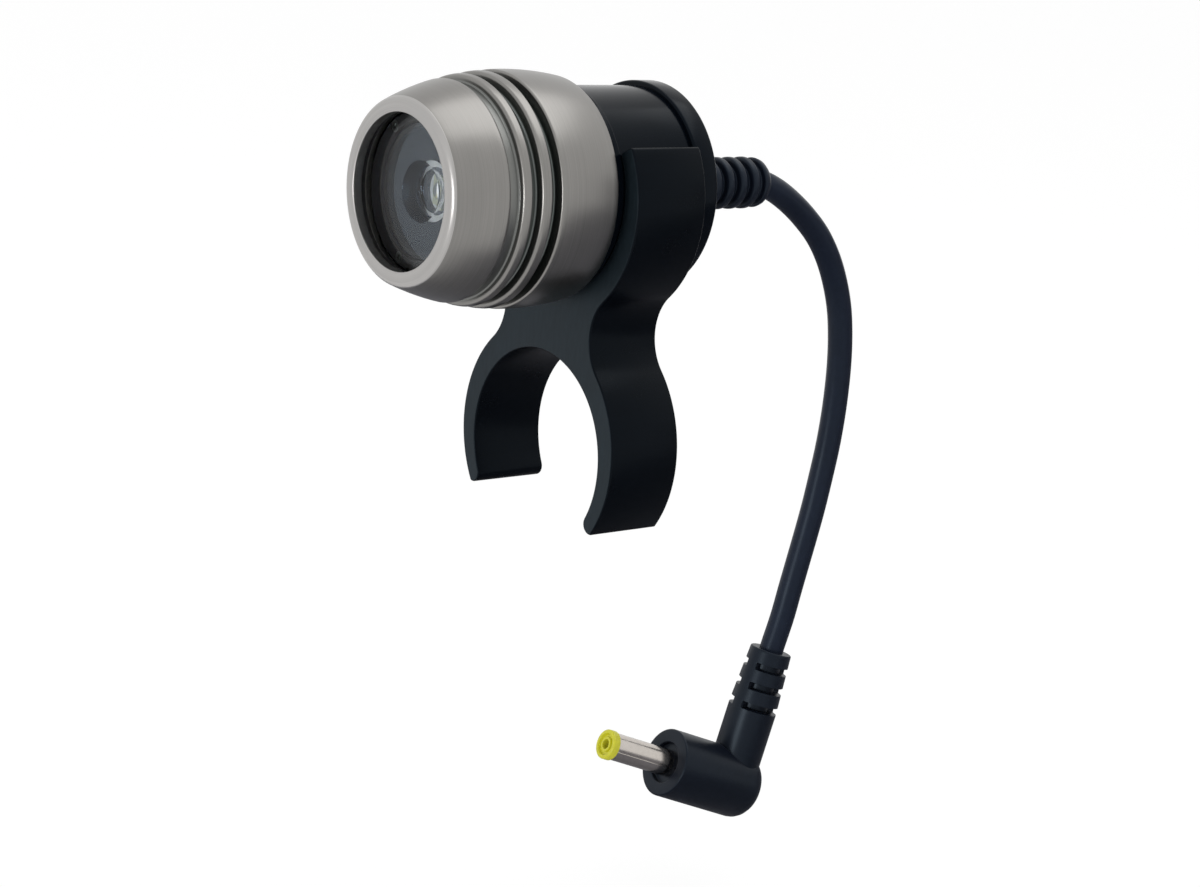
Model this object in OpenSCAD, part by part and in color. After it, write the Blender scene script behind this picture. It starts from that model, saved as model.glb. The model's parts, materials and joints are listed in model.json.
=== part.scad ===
// Clip-mounted lamp head with a short cord and an angled coaxial plug.
// Frame: the axis of the bar that the lower clip grips is the Y axis through the origin,
// +Z goes up to the lamp, and the beam leaves along -Y. Millimetres.

/* [Mounting clip] */
// Diameter of the bar that the lower clip grips
bar_d = 31.8; // [28:0.1:34]
// Space between the bar and the clip's seat, on the radius
bar_gap = 0.1; // [0.05:0.05:0.3]
// Space between the lamp's tube and its clip, on the radius
swivel_gap = 0.05; // [0.02:0.01:0.1]
// Wall of the clips beside the bar
clip_wall = 3.4; // [2.5:0.1:5]
// Extra wall of both clips at their crowns, towards the neck
crown_extra = 1.2; // [0:0.1:2]
// Width of the bracket along the bar
clip_w = 13.4; // [10:0.1:16]
// Distance between the bar's axis and the lamp's axis
axis_gap = 42; // [40:0.5:48]
// Half of the bracket's width at its neck
neck_half_w = 11; // [8:0.1:13]
// Angle between straight up and each end of the upper clip
upper_mouth_deg = 60.5; // [50:0.5:70]
// Height of the lower clip's ends below the bar's axis
lower_tip_drop = 9.9; // [6:0.1:11]
// Rounding of the lower clip's ends, beside the bar
tip_round = 1.7; // [1:0.1:2]
// Rounding of the other corner of those ends
tip_outer_round = 0.5; // [0.4:0.1:1.2]

/* [Barrel] */
// Largest radius of the silver barrel
barrel_r = 18.2; // [17.5:0.1:20]
// Radius of the arc that swells the barrel along its length
swell_r = 47; // [42:1:80]
// Place of the barrel's largest radius, behind the front face
swell_at = 19.5; // [17:0.5:22]
// Length of the screw-on bezel
bezel_l = 8.6; // [7:0.1:9]
// Width of the groove between the bezel and the first fin
joint_groove_w = 1.8; // [1:0.1:2]
// Width of the first fin
front_fin_w = 1.45; // [1.2:0.05:3]
// Width of the second fin
rear_fin_w = 1.65; // [1.4:0.05:2.4]
// Width of the two grooves behind the fins
fin_groove_w = 1.7; // [1.4:0.1:2.2]
// Depth of the grooves below the barrel's largest radius
groove_depth = 2; // [1.6:0.1:2.4]
// Length of the plain rear stretch of the barrel
tail_l = 11.4; // [9:0.1:14]
// Rounding of the front and rear corners of the barrel
corner_r = 0.5; // [0.3:0.1:0.8]

/* [Window] */
// Width of the flat rim round the window
rim_w = 2.15; // [1.8:0.05:3]
// Thickness of the bezel's lip
lip_t = 1.6; // [1.2:0.1:2]
// Thickness of the gasket
gasket_t = 0.7; // [0.5:0.1:0.9]
// Thickness of the glass
glass_t = 2; // [1.5:0.1:2.4]
// Width of the glass's edge behind the lip
glass_lap = 1.4; // [1:0.1:1.6]
// Step from the glass's edge out to the barrel's thread for the bezel
thread_step = 0.9; // [0.6:0.1:1.1]
// Pitch of that thread
thread_pitch = 0.75; // [0.5:0.25:1]
// Depth of that thread
thread_depth = 0.35; // [0.2:0.05:0.45]
// Space beside the thread and the glass, on the radius
thread_gap = 0.1; // [0.05:0.05:0.2]
// Space left in length between the bezel's stack and the barrel
stack_gap = 0.05; // [0.02:0.01:0.1]

/* [Light engine] */
// Wall of the thread round the well in the front of the barrel
well_wall = 1.7; // [1.3:0.1:2]
// Depth of the well behind the glass
well_depth = 7; // [6.6:0.1:8]
// Width of the holder's ring between the well's wall and the lens
holder_w = 2.2; // [2:0.1:2.6]
// Thickness of the lens's flange
lens_flange_t = 1.2; // [0.8:0.1:1.5]
// Width of the lens's flange
lens_flange_w = 0.8; // [0.7:0.1:1.2]
// Width of the lens's foot round the LED's dome
lens_foot_w = 2; // [1.5:0.1:2.5]
// Radius of the hollow in the middle of the lens
lens_hollow_r = 4; // [3:0.1:4.5]
// Depth of that hollow
lens_hollow_depth = 1.2; // [0.8:0.1:1.6]
// Thickness of the LED board
board_t = 1.6; // [1:0.1:2]
// Side of the LED package
package_w = 5; // [3.5:0.1:7]
// Height of the LED package
package_h = 0.8; // [0.5:0.1:1]
// Radius of the LED's dome
dome_r = 1.5; // [1.2:0.1:2]
// Side of the LED's die
die_w = 1.5; // [1:0.1:2]
// Thickness of the LED's die
die_t = 0.15; // [0.1:0.05:0.3]
// Direction of the first holder screw, from +X towards +Z
screw_from_deg = 131; // [0:1:360]
// Width of the holder's ring left at each side of a screw's head
screw_edge_w = 0.2; // [0.15:0.05:0.4]
// Height of the screws' heads
screw_head_h = 0.65; // [0.5:0.05:0.8]
// Radius of the screws' shafts
screw_r = 0.55; // [0.4:0.05:0.6]
// Thickness of the floor behind the LED board
floor_t = 4; // [3:0.1:6]

/* [Driver] */
// Space round the driver board, on the radius
driver_gap = 0.2; // [0.1:0.05:0.4]
// Thickness of the driver board
driver_t = 1.2; // [0.8:0.1:1.6]
// Space for parts in front of the driver board
driver_space = 2; // [1.6:0.1:3]
// Radius of the driver's inductor
inductor_r = 3.2; // [2.5:0.1:4]
// Height of the driver's inductor
inductor_h = 4; // [3:0.1:6]
// Thickness of the inductor's two flanges
inductor_flange_t = 0.8; // [0.6:0.1:1]
// Distance of the driver's parts from its middle
part_at = 4.4; // [4:0.1:5]
// Side of the largest chip
chip_w = 4.6; // [3.5:0.1:5]
// Height of the largest chip
chip_h = 1.8; // [1:0.1:2.2]
// Radius of the driver's capacitor
capacitor_r = 2.4; // [2:0.1:3]
// Height of the driver's capacitor
capacitor_h = 4.6; // [3:0.1:6]
// Radius of each insulated wire
wire_r = 0.65; // [0.4:0.05:0.8]
// Distance of the LED wires inside the edge of the lens
led_wire_inset = 2.7; // [2.3:0.1:3.4]
// Distance of the cord's cores from the axis
core_at = 0.95; // [0.9:0.05:1.1]

/* [Rear housing] */
// Step from the barrel's thread out to the housing's spigot
spigot_step = 0.2; // [0.1:0.1:0.4]
// Step from that spigot out to the black tube that the upper clip grips
tube_step = 1.5; // [1.2:0.1:1.8]
// Step from the spigot in to the tube's bore
tube_wall = 1.5; // [1.3:0.1:2.2]
// Height of the collar that stands up from the tube behind the barrel
collar_h = 0.6; // [0.4:0.1:1]
// Length of that collar
collar_l = 1.7; // [1.2:0.1:2.2]
// Space between the collar and the bracket
collar_play = 0.4; // [0.2:0.1:0.8]
// Space between the bracket and the rear cap
cap_play = 0.9; // [0.2:0.1:1.5]
// Space round spigots and seals, on the radius
spigot_gap = 0.1; // [0.05:0.05:0.15]
// Cord radius of the O-rings
oring_r = 0.75; // [0.6:0.05:0.9]
// Distance of each O-ring's middle from the end that its spigot goes in at
oring_at = 1.8; // [1.6:0.1:2.5]

/* [Rear cap and gland] */
// Height of the rear cap's flange above the tube
cap_step = 0.8; // [0.5:0.1:1.5]
// Thickness of the rear cap's flange
cap_t = 4; // [2.5:0.1:4.5]
// Rounding of the flange's rim
cap_round = 0.6; // [0.3:0.1:1]
// Length of the rear cap's spigot
cap_spigot_l = 6; // [4.5:0.1:7]
// Radius of the gland boss at the flange
boss_r = 7; // [6.5:0.1:8]
// Radius of the gland boss at its end
boss_end_r = 5.2; // [4.8:0.1:6]
// Length of the gland boss
boss_l = 7.7; // [6:0.1:10]
// Radius of the hole through the gland boss
gland_r = 3.3; // [3:0.1:3.6]
// Radius of the relief's head inside the cap
relief_head_r = 5.4; // [4.8:0.1:6]
// Thickness of the relief's head
relief_head_t = 1.6; // [1:0.1:2]
// Thickness of the washer behind that head
retainer_t = 2.4; // [1.5:0.1:3]
// Radius of the relief's ribs
rib_r = 4.25; // [3.8:0.05:4.6]
// Radius of the relief between its ribs
rib_root_r = 3.1; // [2.8:0.1:3.5]
// Distance from one rib to the next
rib_pitch = 2.75; // [2.4:0.05:3.2]
// Width of one rib
rib_w = 1.6; // [1:0.1:2]
// Number of ribs before the rounded end
rib_count = 5; // [2:1:6]
// Length of the relief's rounded end
relief_end_l = 2.4; // [2:0.1:3]

/* [Cord and plug] */
// Diameter of the cord
cord_d = 4.3; // [4:0.1:4.6]
// Lean of the plug's cord entry from straight up, towards +Y
entry_lean_deg = 15; // [12:0.5:18]
// Rise of the plug's barrel above level, towards -Y
barrel_rise_deg = 21; // [15:0.5:25]
// Turn of the plug's front about its cord entry, from -Y towards -X
plug_turn_deg = 8; // [0:0.5:20]
// Radius of the slotted relief at the cord
entry_top_r = 3.7; // [3.4:0.1:4]
// Radius of the entry tube
entry_r = 4.35; // [4:0.05:4.6]
// Length of the slotted relief
entry_relief_l = 10.8; // [9:0.1:12]
// Number of slots in it
slot_count = 3; // [2:1:4]
// Width of one slot
slot_w = 1.1; // [0.8:0.1:1.4]
// Radius of the core that the slots leave
slot_core_r = 2.6; // [2.3:0.1:2.9]
// Width of the web that the slots leave at each side
slot_web_w = 2.6; // [2:0.1:3.5]
// Length of the entry from the cord to the plug's own axis
entry_l = 24.9; // [20:0.1:28]
// Radius of the plug's round body
plug_r = 6; // [5.5:0.1:7]
// Length of the body from its front face to the entry's axis
plug_front_l = 15.2; // [14:0.1:20]
// Length of the body behind the entry's axis
plug_rear_l = 4.1; // [3:0.1:6]
// Rounding of the body's rear end
plug_round = 4; // [1:0.1:4]
// Radius of the recess round the barrel's root
recess_r = 3.6; // [3:0.1:4.5]
// Depth of that recess
recess_depth = 1; // [0.5:0.1:2]
// Diameter of the plug's metal barrel
barrel_d = 4.75; // [4:0.05:5.5]
// Diameter of the yellow tip
tip_d = 5.2; // [4.8:0.05:5.8]
// Diameter of the plug's inner bore
inner_d = 1.7; // [1.3:0.1:2.5]
// Reach of the metal barrel out of the body
barrel_reach = 12.1; // [8:0.1:14]
// Length of the yellow tip
tip_l = 1.4; // [1:0.1:3]
// Length of the barrel's root inside the body
plug_root_l = 4; // [3:0.1:6]
// Wall of the metal barrel
barrel_wall = 0.3; // [0.2:0.05:0.5]
// Wall of the inner contact
contact_wall = 0.25; // [0.2:0.05:0.4]

/* [Hidden] */
$fn = 96;
// How far a cut runs past the face that it opens
over = 1;
// Space round small pieces in their pockets, on the radius
pocket_gap = 0.1;
// Space between the nested sleeves of the plug, on the radius
sleeve_gap = 0.02;

// Radius of the barrel at a station: one arc of swell_r whose top is at swell_at
function swell(s) = barrel_r - swell_r + sqrt(swell_r * swell_r - pow(s - swell_at, 2));

// Radii from the window back to the tube: each is its neighbour plus or less a named step
window_r = swell(0) - rim_w;
glass_r = window_r + glass_lap;
thread_r = glass_r + thread_step;
well_r = thread_r - well_wall;
lens_r = well_r - holder_w;
screw_circle_r = lens_r + holder_w / 2;
screw_head_r = holder_w / 2 - screw_edge_w;
led_wire_at = lens_r - led_wire_inset;
groove_r = barrel_r - groove_depth;
spigot_r = thread_r + spigot_step;
rear_bore_r = spigot_r + spigot_gap;
driver_r = rear_bore_r - driver_gap;
tube_r = spigot_r + tube_step;
tube_bore_r = spigot_r - tube_wall;
collar_r = tube_r + collar_h;
cap_r = tube_r + cap_step;
cap_spigot_r = tube_bore_r - spigot_gap;

// Seats of the two clips
bar_seat_r = bar_d / 2 + bar_gap;
lamp_seat_r = tube_r + swivel_gap;
clip_out_r = bar_seat_r + clip_wall;
// Both clips have the same outer circle, moved towards the neck by crown_extra. One fillet touches both
// and leaves the neck's width: (clip_out_r + f)^2 = (neck_half_w + f)^2 + half_span^2
half_span = axis_gap / 2 - crown_extra;
neck_fillet_r = (neck_half_w * neck_half_w + half_span * half_span - clip_out_r * clip_out_r)
    / (2 * (clip_out_r - neck_half_w));
fillet_x = neck_half_w + neck_fillet_r;

// Stations along the lamp, behind its front face
fin1_s = bezel_l + joint_groove_w;
groove2_s = fin1_s + front_fin_w;
fin2_s = groove2_s + fin_groove_w;
groove3_s = fin2_s + rear_fin_w;
tail_s = groove3_s + fin_groove_w;
barrel_end_s = tail_s + tail_l;
collar_end_s = barrel_end_s + collar_l;
cap_s = collar_end_s + collar_play + clip_w + cap_play;
cap_end_s = cap_s + cap_t;
boss_end_s = cap_end_s + boss_l;
ribs_end_s = boss_end_s + rib_count * rib_pitch;
relief_end_s = ribs_end_s + relief_end_l;
// The bracket's middle is at y = 0
front_y = -(collar_end_s + collar_play + clip_w / 2);

gasket_s = lip_t;
glass_s = gasket_s + gasket_t;
glass_end_s = glass_s + glass_t;
spigot_front_s = glass_end_s + stack_gap;
shoulder_s = bezel_l + stack_gap;
floor_s = spigot_front_s + well_depth;
board_s = floor_s - board_t;
package_s = board_s - package_h;
holder_s = spigot_front_s + pocket_gap;
lens_s = holder_s + 3 * pocket_gap;
lens_end_s = package_s - pocket_gap;
screw_seat_s = holder_s + screw_head_h + pocket_gap / 2;
driver_pocket_s = floor_s + floor_t;
driver_s = driver_pocket_s + driver_space;
driver_end_s = driver_s + driver_t;
// The O-rings fill their grooves and stop just short of the wall that they seal
oring_groove = 2 * oring_r - spigot_gap + 0.03;
retainer_s = cap_s - retainer_t;

// Along the plug's own axis
plug_root_s = plug_front_l - recess_depth - plug_root_l;
barrel_tip_s = plug_front_l + barrel_reach;

// How far the cord hangs below the middle of the relief's mouth
cord_sag = 0.3;
// Points that the cord's middle line passes, as [y, z]
CORD_YZ = [[relief_end_s + front_y, axis_gap - cord_sag], [38.4, 40.8], [42.3, 38.7], [46.4, 35.8],
    [50.2, 32.4], [53.3, 28.4], [55.7, 24.0], [57.5, 19.3], [58.6, 14.3], [59.2, 9.3], [59.4, 4.2],
    [59.3, -0.9], [58.9, -6.0], [58.2, -11.1], [57.4, -16.2], [56.4, -21.2], [55.3, -26.2],
    [54.2, -31.2], [53.1, -36.4], [51.4, -42.4]];
cord_sides = 12;
entry_top = [0, CORD_YZ[len(CORD_YZ) - 1][0], CORD_YZ[len(CORD_YZ) - 1][1]];
// The plug's own axis crosses the entry's axis here
plug_cross = entry_top - entry_l * [0, sin(entry_lean_deg), cos(entry_lean_deg)];

// Places children whose own Z is the distance behind the lamp's front face
module on_lamp_axis() translate([0, front_y, axis_gap]) rotate([-90, 0, 0]) children();

// Places children whose own Z runs down the plug's cord entry, from its top
module on_entry() translate(entry_top) rotate([180 - entry_lean_deg, 0, 0]) children();

// Places children whose own Z points out of the plug's front, from where the two axes cross
module on_plug() translate(plug_cross) rotate([-entry_lean_deg, 0, 0]) rotate([0, 0, -plug_turn_deg])
    rotate([entry_lean_deg + 90 - barrel_rise_deg, 0, 0]) children();

// A plain ring between two stations
module ring(r_out, r_in, from_s, to_s) {
    translate([0, 0, from_s]) difference() {
        cylinder(r = r_out, h = to_s - from_s);
        translate([0, 0, -1]) cylinder(r = r_in, h = to_s - from_s + 2);
    }
}

module disc(r, from_s, to_s) translate([0, 0, from_s]) cylinder(r = r, h = to_s - from_s);

// The swollen outside of the barrel between two stations, as a half section
module swell_section(from_s, to_s) {
    intersection() {
        translate([barrel_r - swell_r, swell_at]) circle(r = swell_r, $fn = 360);
        translate([0, from_s]) square([barrel_r + 1, to_s - from_s]);
    }
}

// A solid of revolution that rounds an outer corner at radius r and station s;
// side is 1 when the body lies behind s and -1 when it lies before it
module round_corner_cut(r, s, round_r, side) {
    rotate_extrude() difference() {
        translate([r - round_r, side > 0 ? s - 1 : s - round_r]) square([round_r + 2, round_r + 1]);
        translate([r - round_r, s + side * round_r]) circle(r = round_r, $fn = 48);
    }
}

// Outline of the bracket in the X-Z plane
module bracket_outline() {
    // Half width and half height of the block between the points where the fillets touch the circles
    foot = [fillet_x, half_span] * clip_out_r / (clip_out_r + neck_fillet_r);
    difference() {
        union() {
            for (z = [crown_extra, axis_gap - crown_extra]) translate([0, z]) circle(r = clip_out_r);
            translate([-foot[0], crown_extra + foot[1]]) square([2 * foot[0], 2 * (half_span - foot[1])]);
        }
        for (side = [-1, 1]) translate([side * fillet_x, axis_gap / 2]) circle(r = neck_fillet_r);
        circle(r = bar_seat_r);
        translate([0, axis_gap]) circle(r = lamp_seat_r);
        // Mouth of the upper clip
        translate([0, axis_gap]) polygon([[0, 0],
            2 * clip_out_r * [sin(upper_mouth_deg), cos(upper_mouth_deg)],
            2 * clip_out_r * [0, 1],
            2 * clip_out_r * [-sin(upper_mouth_deg), cos(upper_mouth_deg)]]);
        // Mouth of the lower clip, and the rounded corners of its ends
        translate([-2 * clip_out_r, -lower_tip_drop - 2 * clip_out_r])
            square([4 * clip_out_r, 2 * clip_out_r]);
        for (side = [0, 1]) mirror([side, 0]) {
            tip_corner_cut(bar_seat_r + tip_round, 0, tip_round, -1);
            tip_corner_cut(clip_out_r - tip_outer_round, crown_extra, tip_outer_round, 1);
        }
    }
}

// What a rounding of radius r takes off one corner of a lower end. Its middle is reach away from the
// middle of the wall's own arc, at height arc_z; side is -1 on the wall beside the bar and 1 outside
module tip_corner_cut(reach, arc_z, r, side) {
    z = r - lower_tip_drop;
    x = sqrt(reach * reach - pow(z - arc_z, 2));
    away = side * [x, z - arc_z] / reach;
    far = [x, z] + 3 * r * away;
    difference() {
        polygon([[x, z], far, [far[0], -lower_tip_drop - over], [x, -lower_tip_drop - over]]);
        translate([x, z]) circle(r = r, $fn = 64);
    }
}

module clip_bracket() color([0.10, 0.12, 0.13])
    translate([0, clip_w / 2, 0]) rotate([90, 0, 0]) linear_extrude(height = clip_w) bracket_outline();

module bezel_ring() color([0.62, 0.60, 0.57]) on_lamp_axis() difference() {
    rotate_extrude() difference() {
        swell_section(0, bezel_l);
        translate([0, -over]) square([window_r, bezel_l]);
        translate([0, gasket_s]) square([glass_r + thread_gap, bezel_l]);
        translate([0, glass_end_s]) square([thread_r + thread_gap, bezel_l]);
    }
    round_corner_cut(swell(0), 0, corner_r, 1);
}

module glass_seal() color([0.06, 0.06, 0.07]) on_lamp_axis()
    ring(glass_r, window_r + glass_lap / 7, gasket_s, glass_s);

module front_glass() color([0.75, 0.85, 0.90, 0.35]) on_lamp_axis() disc(glass_r, glass_s, glass_end_s);

module body_shell() color([0.60, 0.58, 0.55]) on_lamp_axis() difference() {
    rotate_extrude() difference() {
        union() {
            translate([0, spigot_front_s]) square([thread_r, shoulder_s - spigot_front_s + over]);
            swell_section(shoulder_s, barrel_end_s);
        }
        translate([groove_r, shoulder_s - over]) square([barrel_r, fin1_s - shoulder_s + over]);
        translate([groove_r, groove2_s]) square([barrel_r, fin_groove_w]);
        translate([groove_r, groove3_s]) square([barrel_r, fin_groove_w]);
        // Thread, as rings
        for (k = [1 : floor((shoulder_s - spigot_front_s) / thread_pitch)])
            translate([thread_r - thread_depth, spigot_front_s + (k - 0.5) * thread_pitch])
                square([thread_depth + over, thread_pitch / 2]);
    }
    round_corner_cut(swell(barrel_end_s), barrel_end_s, corner_r, -1);
    disc(well_r, spigot_front_s - over, floor_s);
    disc(well_r, driver_pocket_s, driver_s + over);
    disc(rear_bore_r, driver_s, barrel_end_s + over);
    at_led_wires() disc(wire_r + pocket_gap, floor_s - over, driver_pocket_s + over);
    at_screws() disc(screw_r, floor_s - over, floor_s + floor_t / 2);
}

// Repeats children at the two LED wires
module at_led_wires() for (side = [-1, 1]) translate([side * led_wire_at, 0, 0]) children();

// Repeats children at the three holder screws
module at_screws() for (k = [0 : 2]) rotate([0, 0, -(screw_from_deg + 120 * k)])
    translate([screw_circle_r, 0, 0]) children();

module optic_holder() color([0.07, 0.08, 0.10]) on_lamp_axis() difference() {
    disc(well_r - pocket_gap, holder_s, board_s);
    disc(lens_r + pocket_gap, holder_s - over, lens_s + lens_flange_t);
    disc(lens_r + pocket_gap - lens_flange_w, holder_s, board_s + over);
    at_screws() disc(screw_head_r + pocket_gap / 2, holder_s - over, screw_seat_s);
    at_screws() disc(screw_r + pocket_gap / 2, holder_s, board_s + over);
}

module holder_screws() color([0.35, 0.36, 0.38]) on_lamp_axis() at_screws() difference() {
    union() {
        disc(screw_head_r, screw_seat_s - screw_head_h, screw_seat_s);
        disc(screw_r, holder_s + screw_head_h, floor_s + floor_t / 3);
    }
    // Six-sided socket
    translate([0, 0, holder_s]) cylinder(r = screw_head_r / 2, h = screw_head_h * 0.6, $fn = 6);
}

module optic_lens() color([0.80, 0.86, 0.90, 0.4]) on_lamp_axis() rotate_extrude() difference() {
    polygon([[0, lens_s], [lens_r, lens_s], [lens_r, lens_s + lens_flange_t],
        [lens_r - lens_flange_w, lens_s + lens_flange_t], [dome_r + lens_foot_w, lens_end_s], [0, lens_end_s]]);
    translate([0, lens_s - over]) square([lens_hollow_r, lens_hollow_depth + over]);
    translate([0, lens_end_s]) circle(r = dome_r + 3 * pocket_gap, $fn = 48);
}

module led_board() color([0.20, 0.23, 0.26]) on_lamp_axis() difference() {
    disc(well_r - pocket_gap, board_s, floor_s);
    at_screws() disc(screw_r + pocket_gap / 2, board_s - over, floor_s + over);
    at_led_wires() disc(wire_r + pocket_gap, board_s - over, floor_s + over);
}

module led_package() color([0.85, 0.85, 0.82]) on_lamp_axis() square_block(package_w, package_s, board_s);

module led_dome() color([0.90, 0.93, 0.95, 0.4]) on_lamp_axis() difference() {
    translate([0, 0, package_s]) sphere(r = dome_r);
    disc(2 * dome_r, package_s, package_s + 2 * dome_r);
    square_block(die_w + 2 * sleeve_gap, package_s - die_t - sleeve_gap, package_s + over);
}

module led_die() color([0.90, 0.85, 0.25]) on_lamp_axis() square_block(die_w, package_s - die_t, package_s);

// A square block of side w on the axis, between two stations
module square_block(w, from_s, to_s) translate([-w / 2, -w / 2, from_s]) cube([w, w, to_s - from_s]);

module solder_joints() color([0.75, 0.76, 0.78]) on_lamp_axis() at_led_wires()
    translate([0, 0, board_s - wire_r]) cylinder(r1 = wire_r, r2 = 2 * wire_r, h = wire_r);

// A wire that runs from the solder joint through the floor to the driver
module led_wire(side) on_lamp_axis() translate([side * led_wire_at, 0, 0]) disc(wire_r, board_s, driver_s);

module led_wire_red() color([0.75, 0.10, 0.08]) led_wire(-1);

module led_wire_black() color([0.08, 0.08, 0.08]) led_wire(1);

module driver_board() color([0.05, 0.28, 0.12]) on_lamp_axis() disc(driver_r, driver_s, driver_end_s);

// Two flanges and the winding between them
module driver_inductor() color([0.15, 0.15, 0.16]) on_lamp_axis() translate([0, -part_at - inductor_r / 2, 0])
    difference() {
        disc(inductor_r, driver_end_s, driver_end_s + inductor_h);
        ring(inductor_r + over, inductor_r * 0.8, driver_end_s + inductor_flange_t,
            driver_end_s + inductor_h - inductor_flange_t);
    }

module driver_chips() color([0.10, 0.10, 0.11]) on_lamp_axis() {
    translate([-part_at - chip_w, -chip_w / 2, driver_end_s]) cube([chip_w, chip_w, chip_h]);
    translate([part_at, -chip_w / 2, driver_end_s]) cube([chip_w * 0.65, chip_w * 0.35, chip_h * 0.6]);
    translate([part_at, chip_w * 0.2, driver_end_s]) cube([chip_w, chip_w * 0.7, chip_h * 0.8]);
}

module driver_capacitor() color([0.55, 0.42, 0.25]) on_lamp_axis() translate([0, part_at + capacitor_r, 0])
    disc(capacitor_r, driver_end_s, driver_end_s + capacitor_h);

// An O-ring seated in a groove of floor radius r, in the middle of station s
module oring(r, s) rotate_extrude() translate([r + oring_r, s]) circle(r = oring_r, $fn = 32);

// The cut of that groove in a spigot of radius r
module oring_groove_cut(r, s)
    ring(r + over, r - oring_groove, s - oring_r - pocket_gap, s + oring_r + pocket_gap);

module body_seal() color([0.05, 0.05, 0.06]) on_lamp_axis()
    oring(spigot_r - oring_groove, barrel_end_s - oring_at);

module rear_housing() color([0.07, 0.08, 0.10]) on_lamp_axis() difference() {
    union() {
        disc(spigot_r, driver_end_s + stack_gap, barrel_end_s);
        disc(collar_r, barrel_end_s, collar_end_s);
        disc(tube_r, collar_end_s, cap_s);
    }
    disc(tube_bore_r, driver_end_s, cap_s + over);
    oring_groove_cut(spigot_r, barrel_end_s - oring_at);
}

module rear_cap() color([0.07, 0.08, 0.10]) on_lamp_axis() difference() {
    union() {
        disc(cap_spigot_r, cap_s - cap_spigot_l, cap_s);
        disc(cap_r, cap_s, cap_end_s);
        disc(boss_r, cap_end_s, cap_end_s + boss_l / 2);
        translate([0, 0, cap_end_s + boss_l / 2]) cylinder(r1 = boss_r, r2 = boss_end_r, h = boss_l / 2);
    }
    round_corner_cut(cap_r, cap_s, cap_round, 1);
    round_corner_cut(cap_r, cap_end_s, cap_round, -1);
    disc(relief_head_r + pocket_gap, cap_s - cap_spigot_l - over, cap_s + relief_head_t);
    disc(gland_r + pocket_gap / 2, cap_s, boss_end_s + over);
    oring_groove_cut(cap_spigot_r, cap_s - oring_at);
}

module rear_cap_seal() color([0.05, 0.05, 0.06]) on_lamp_axis()
    oring(cap_spigot_r - oring_groove, cap_s - oring_at);

module cord_retainer() color([0.70, 0.58, 0.30]) on_lamp_axis() difference() {
    disc(relief_head_r + pocket_gap / 2, retainer_s, cap_s);
    for (side = [-1, 1]) translate([side * core_at, 0, 0])
        disc(wire_r + pocket_gap, retainer_s - over, cap_s + over);
}

// One of the cord's cores, from the relief's head to the driver board
module cord_core(side) on_lamp_axis() translate([side * core_at, 0, 0]) disc(wire_r, driver_end_s, cap_s);

module cord_core_red() color([0.75, 0.10, 0.08]) cord_core(-1);

module cord_core_black() color([0.08, 0.08, 0.08]) cord_core(1);

module strain_relief() color([0.05, 0.06, 0.09]) on_lamp_axis() {
    disc(relief_head_r, cap_s, cap_s + relief_head_t);
    disc(gland_r, cap_s, boss_end_s);
    disc(rib_root_r, cap_s, ribs_end_s + over);
    for (k = [0 : rib_count - 1])
        rotate_extrude() translate([0, boss_end_s + k * rib_pitch]) {
            square([rib_r - rib_w / 2, rib_w]);
            translate([rib_r - rib_w / 2, rib_w / 2]) circle(r = rib_w / 2, $fn = 24);
        }
    // The rounded end: a quarter of a circle a little longer than itself, so it ends flat at the cord
    rotate_extrude() intersection() {
        translate([0, ribs_end_s]) square([rib_r, relief_end_l]);
        translate([rib_r - 1.05 * relief_end_l, ribs_end_s]) circle(r = 1.05 * relief_end_l, $fn = 96);
    }
    disc(cord_d / 2, ribs_end_s, relief_end_s);
}

// Unit vector of a [y, z] pair
function unit2(v) = v / norm(v);

// Direction of the cord at point k: its ends are square to what they meet
function cord_dir(k) = k == 0 ? [1, 0]
    : k == len(CORD_YZ) - 1 ? -[sin(entry_lean_deg), cos(entry_lean_deg)]
    : unit2(CORD_YZ[k + 1] - CORD_YZ[k - 1]);

// One ring of the cord's tube round point k, in the plane square to the cord
function cord_ring(k) = [for (j = [0 : cord_sides - 1])
    let (a = 360 * j / cord_sides, d = cord_dir(k))
    [cord_d / 2 * cos(a), CORD_YZ[k][0] - d[1] * cord_d / 2 * sin(a),
        CORD_YZ[k][1] + d[0] * cord_d / 2 * sin(a)]];

module power_cord() {
    rings = len(CORD_YZ);
    points = [for (k = [0 : rings - 1]) each cord_ring(k)];
    ends = [[CORD_YZ[0][0], CORD_YZ[0][1]], CORD_YZ[rings - 1]];
    n = cord_sides;
    sides = [for (k = [0 : rings - 2], j = [0 : n - 1], half = [0, 1])
        let (a = k * n + j, b = k * n + (j + 1) % n, c = a + n, d = b + n)
        half == 0 ? [a, b, c] : [b, d, c]];
    first = rings * n;
    caps = [for (j = [0 : n - 1], e = [0, 1])
        e == 0 ? [first, (j + 1) % n, j]
            : [first + 1, (rings - 1) * n + j, (rings - 1) * n + (j + 1) % n]];
    color([0.05, 0.06, 0.09]) polyhedron(
        points = concat(points, [for (e = ends) [0, e[0], e[1]]]),
        faces = concat(sides, caps));
}

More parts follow.
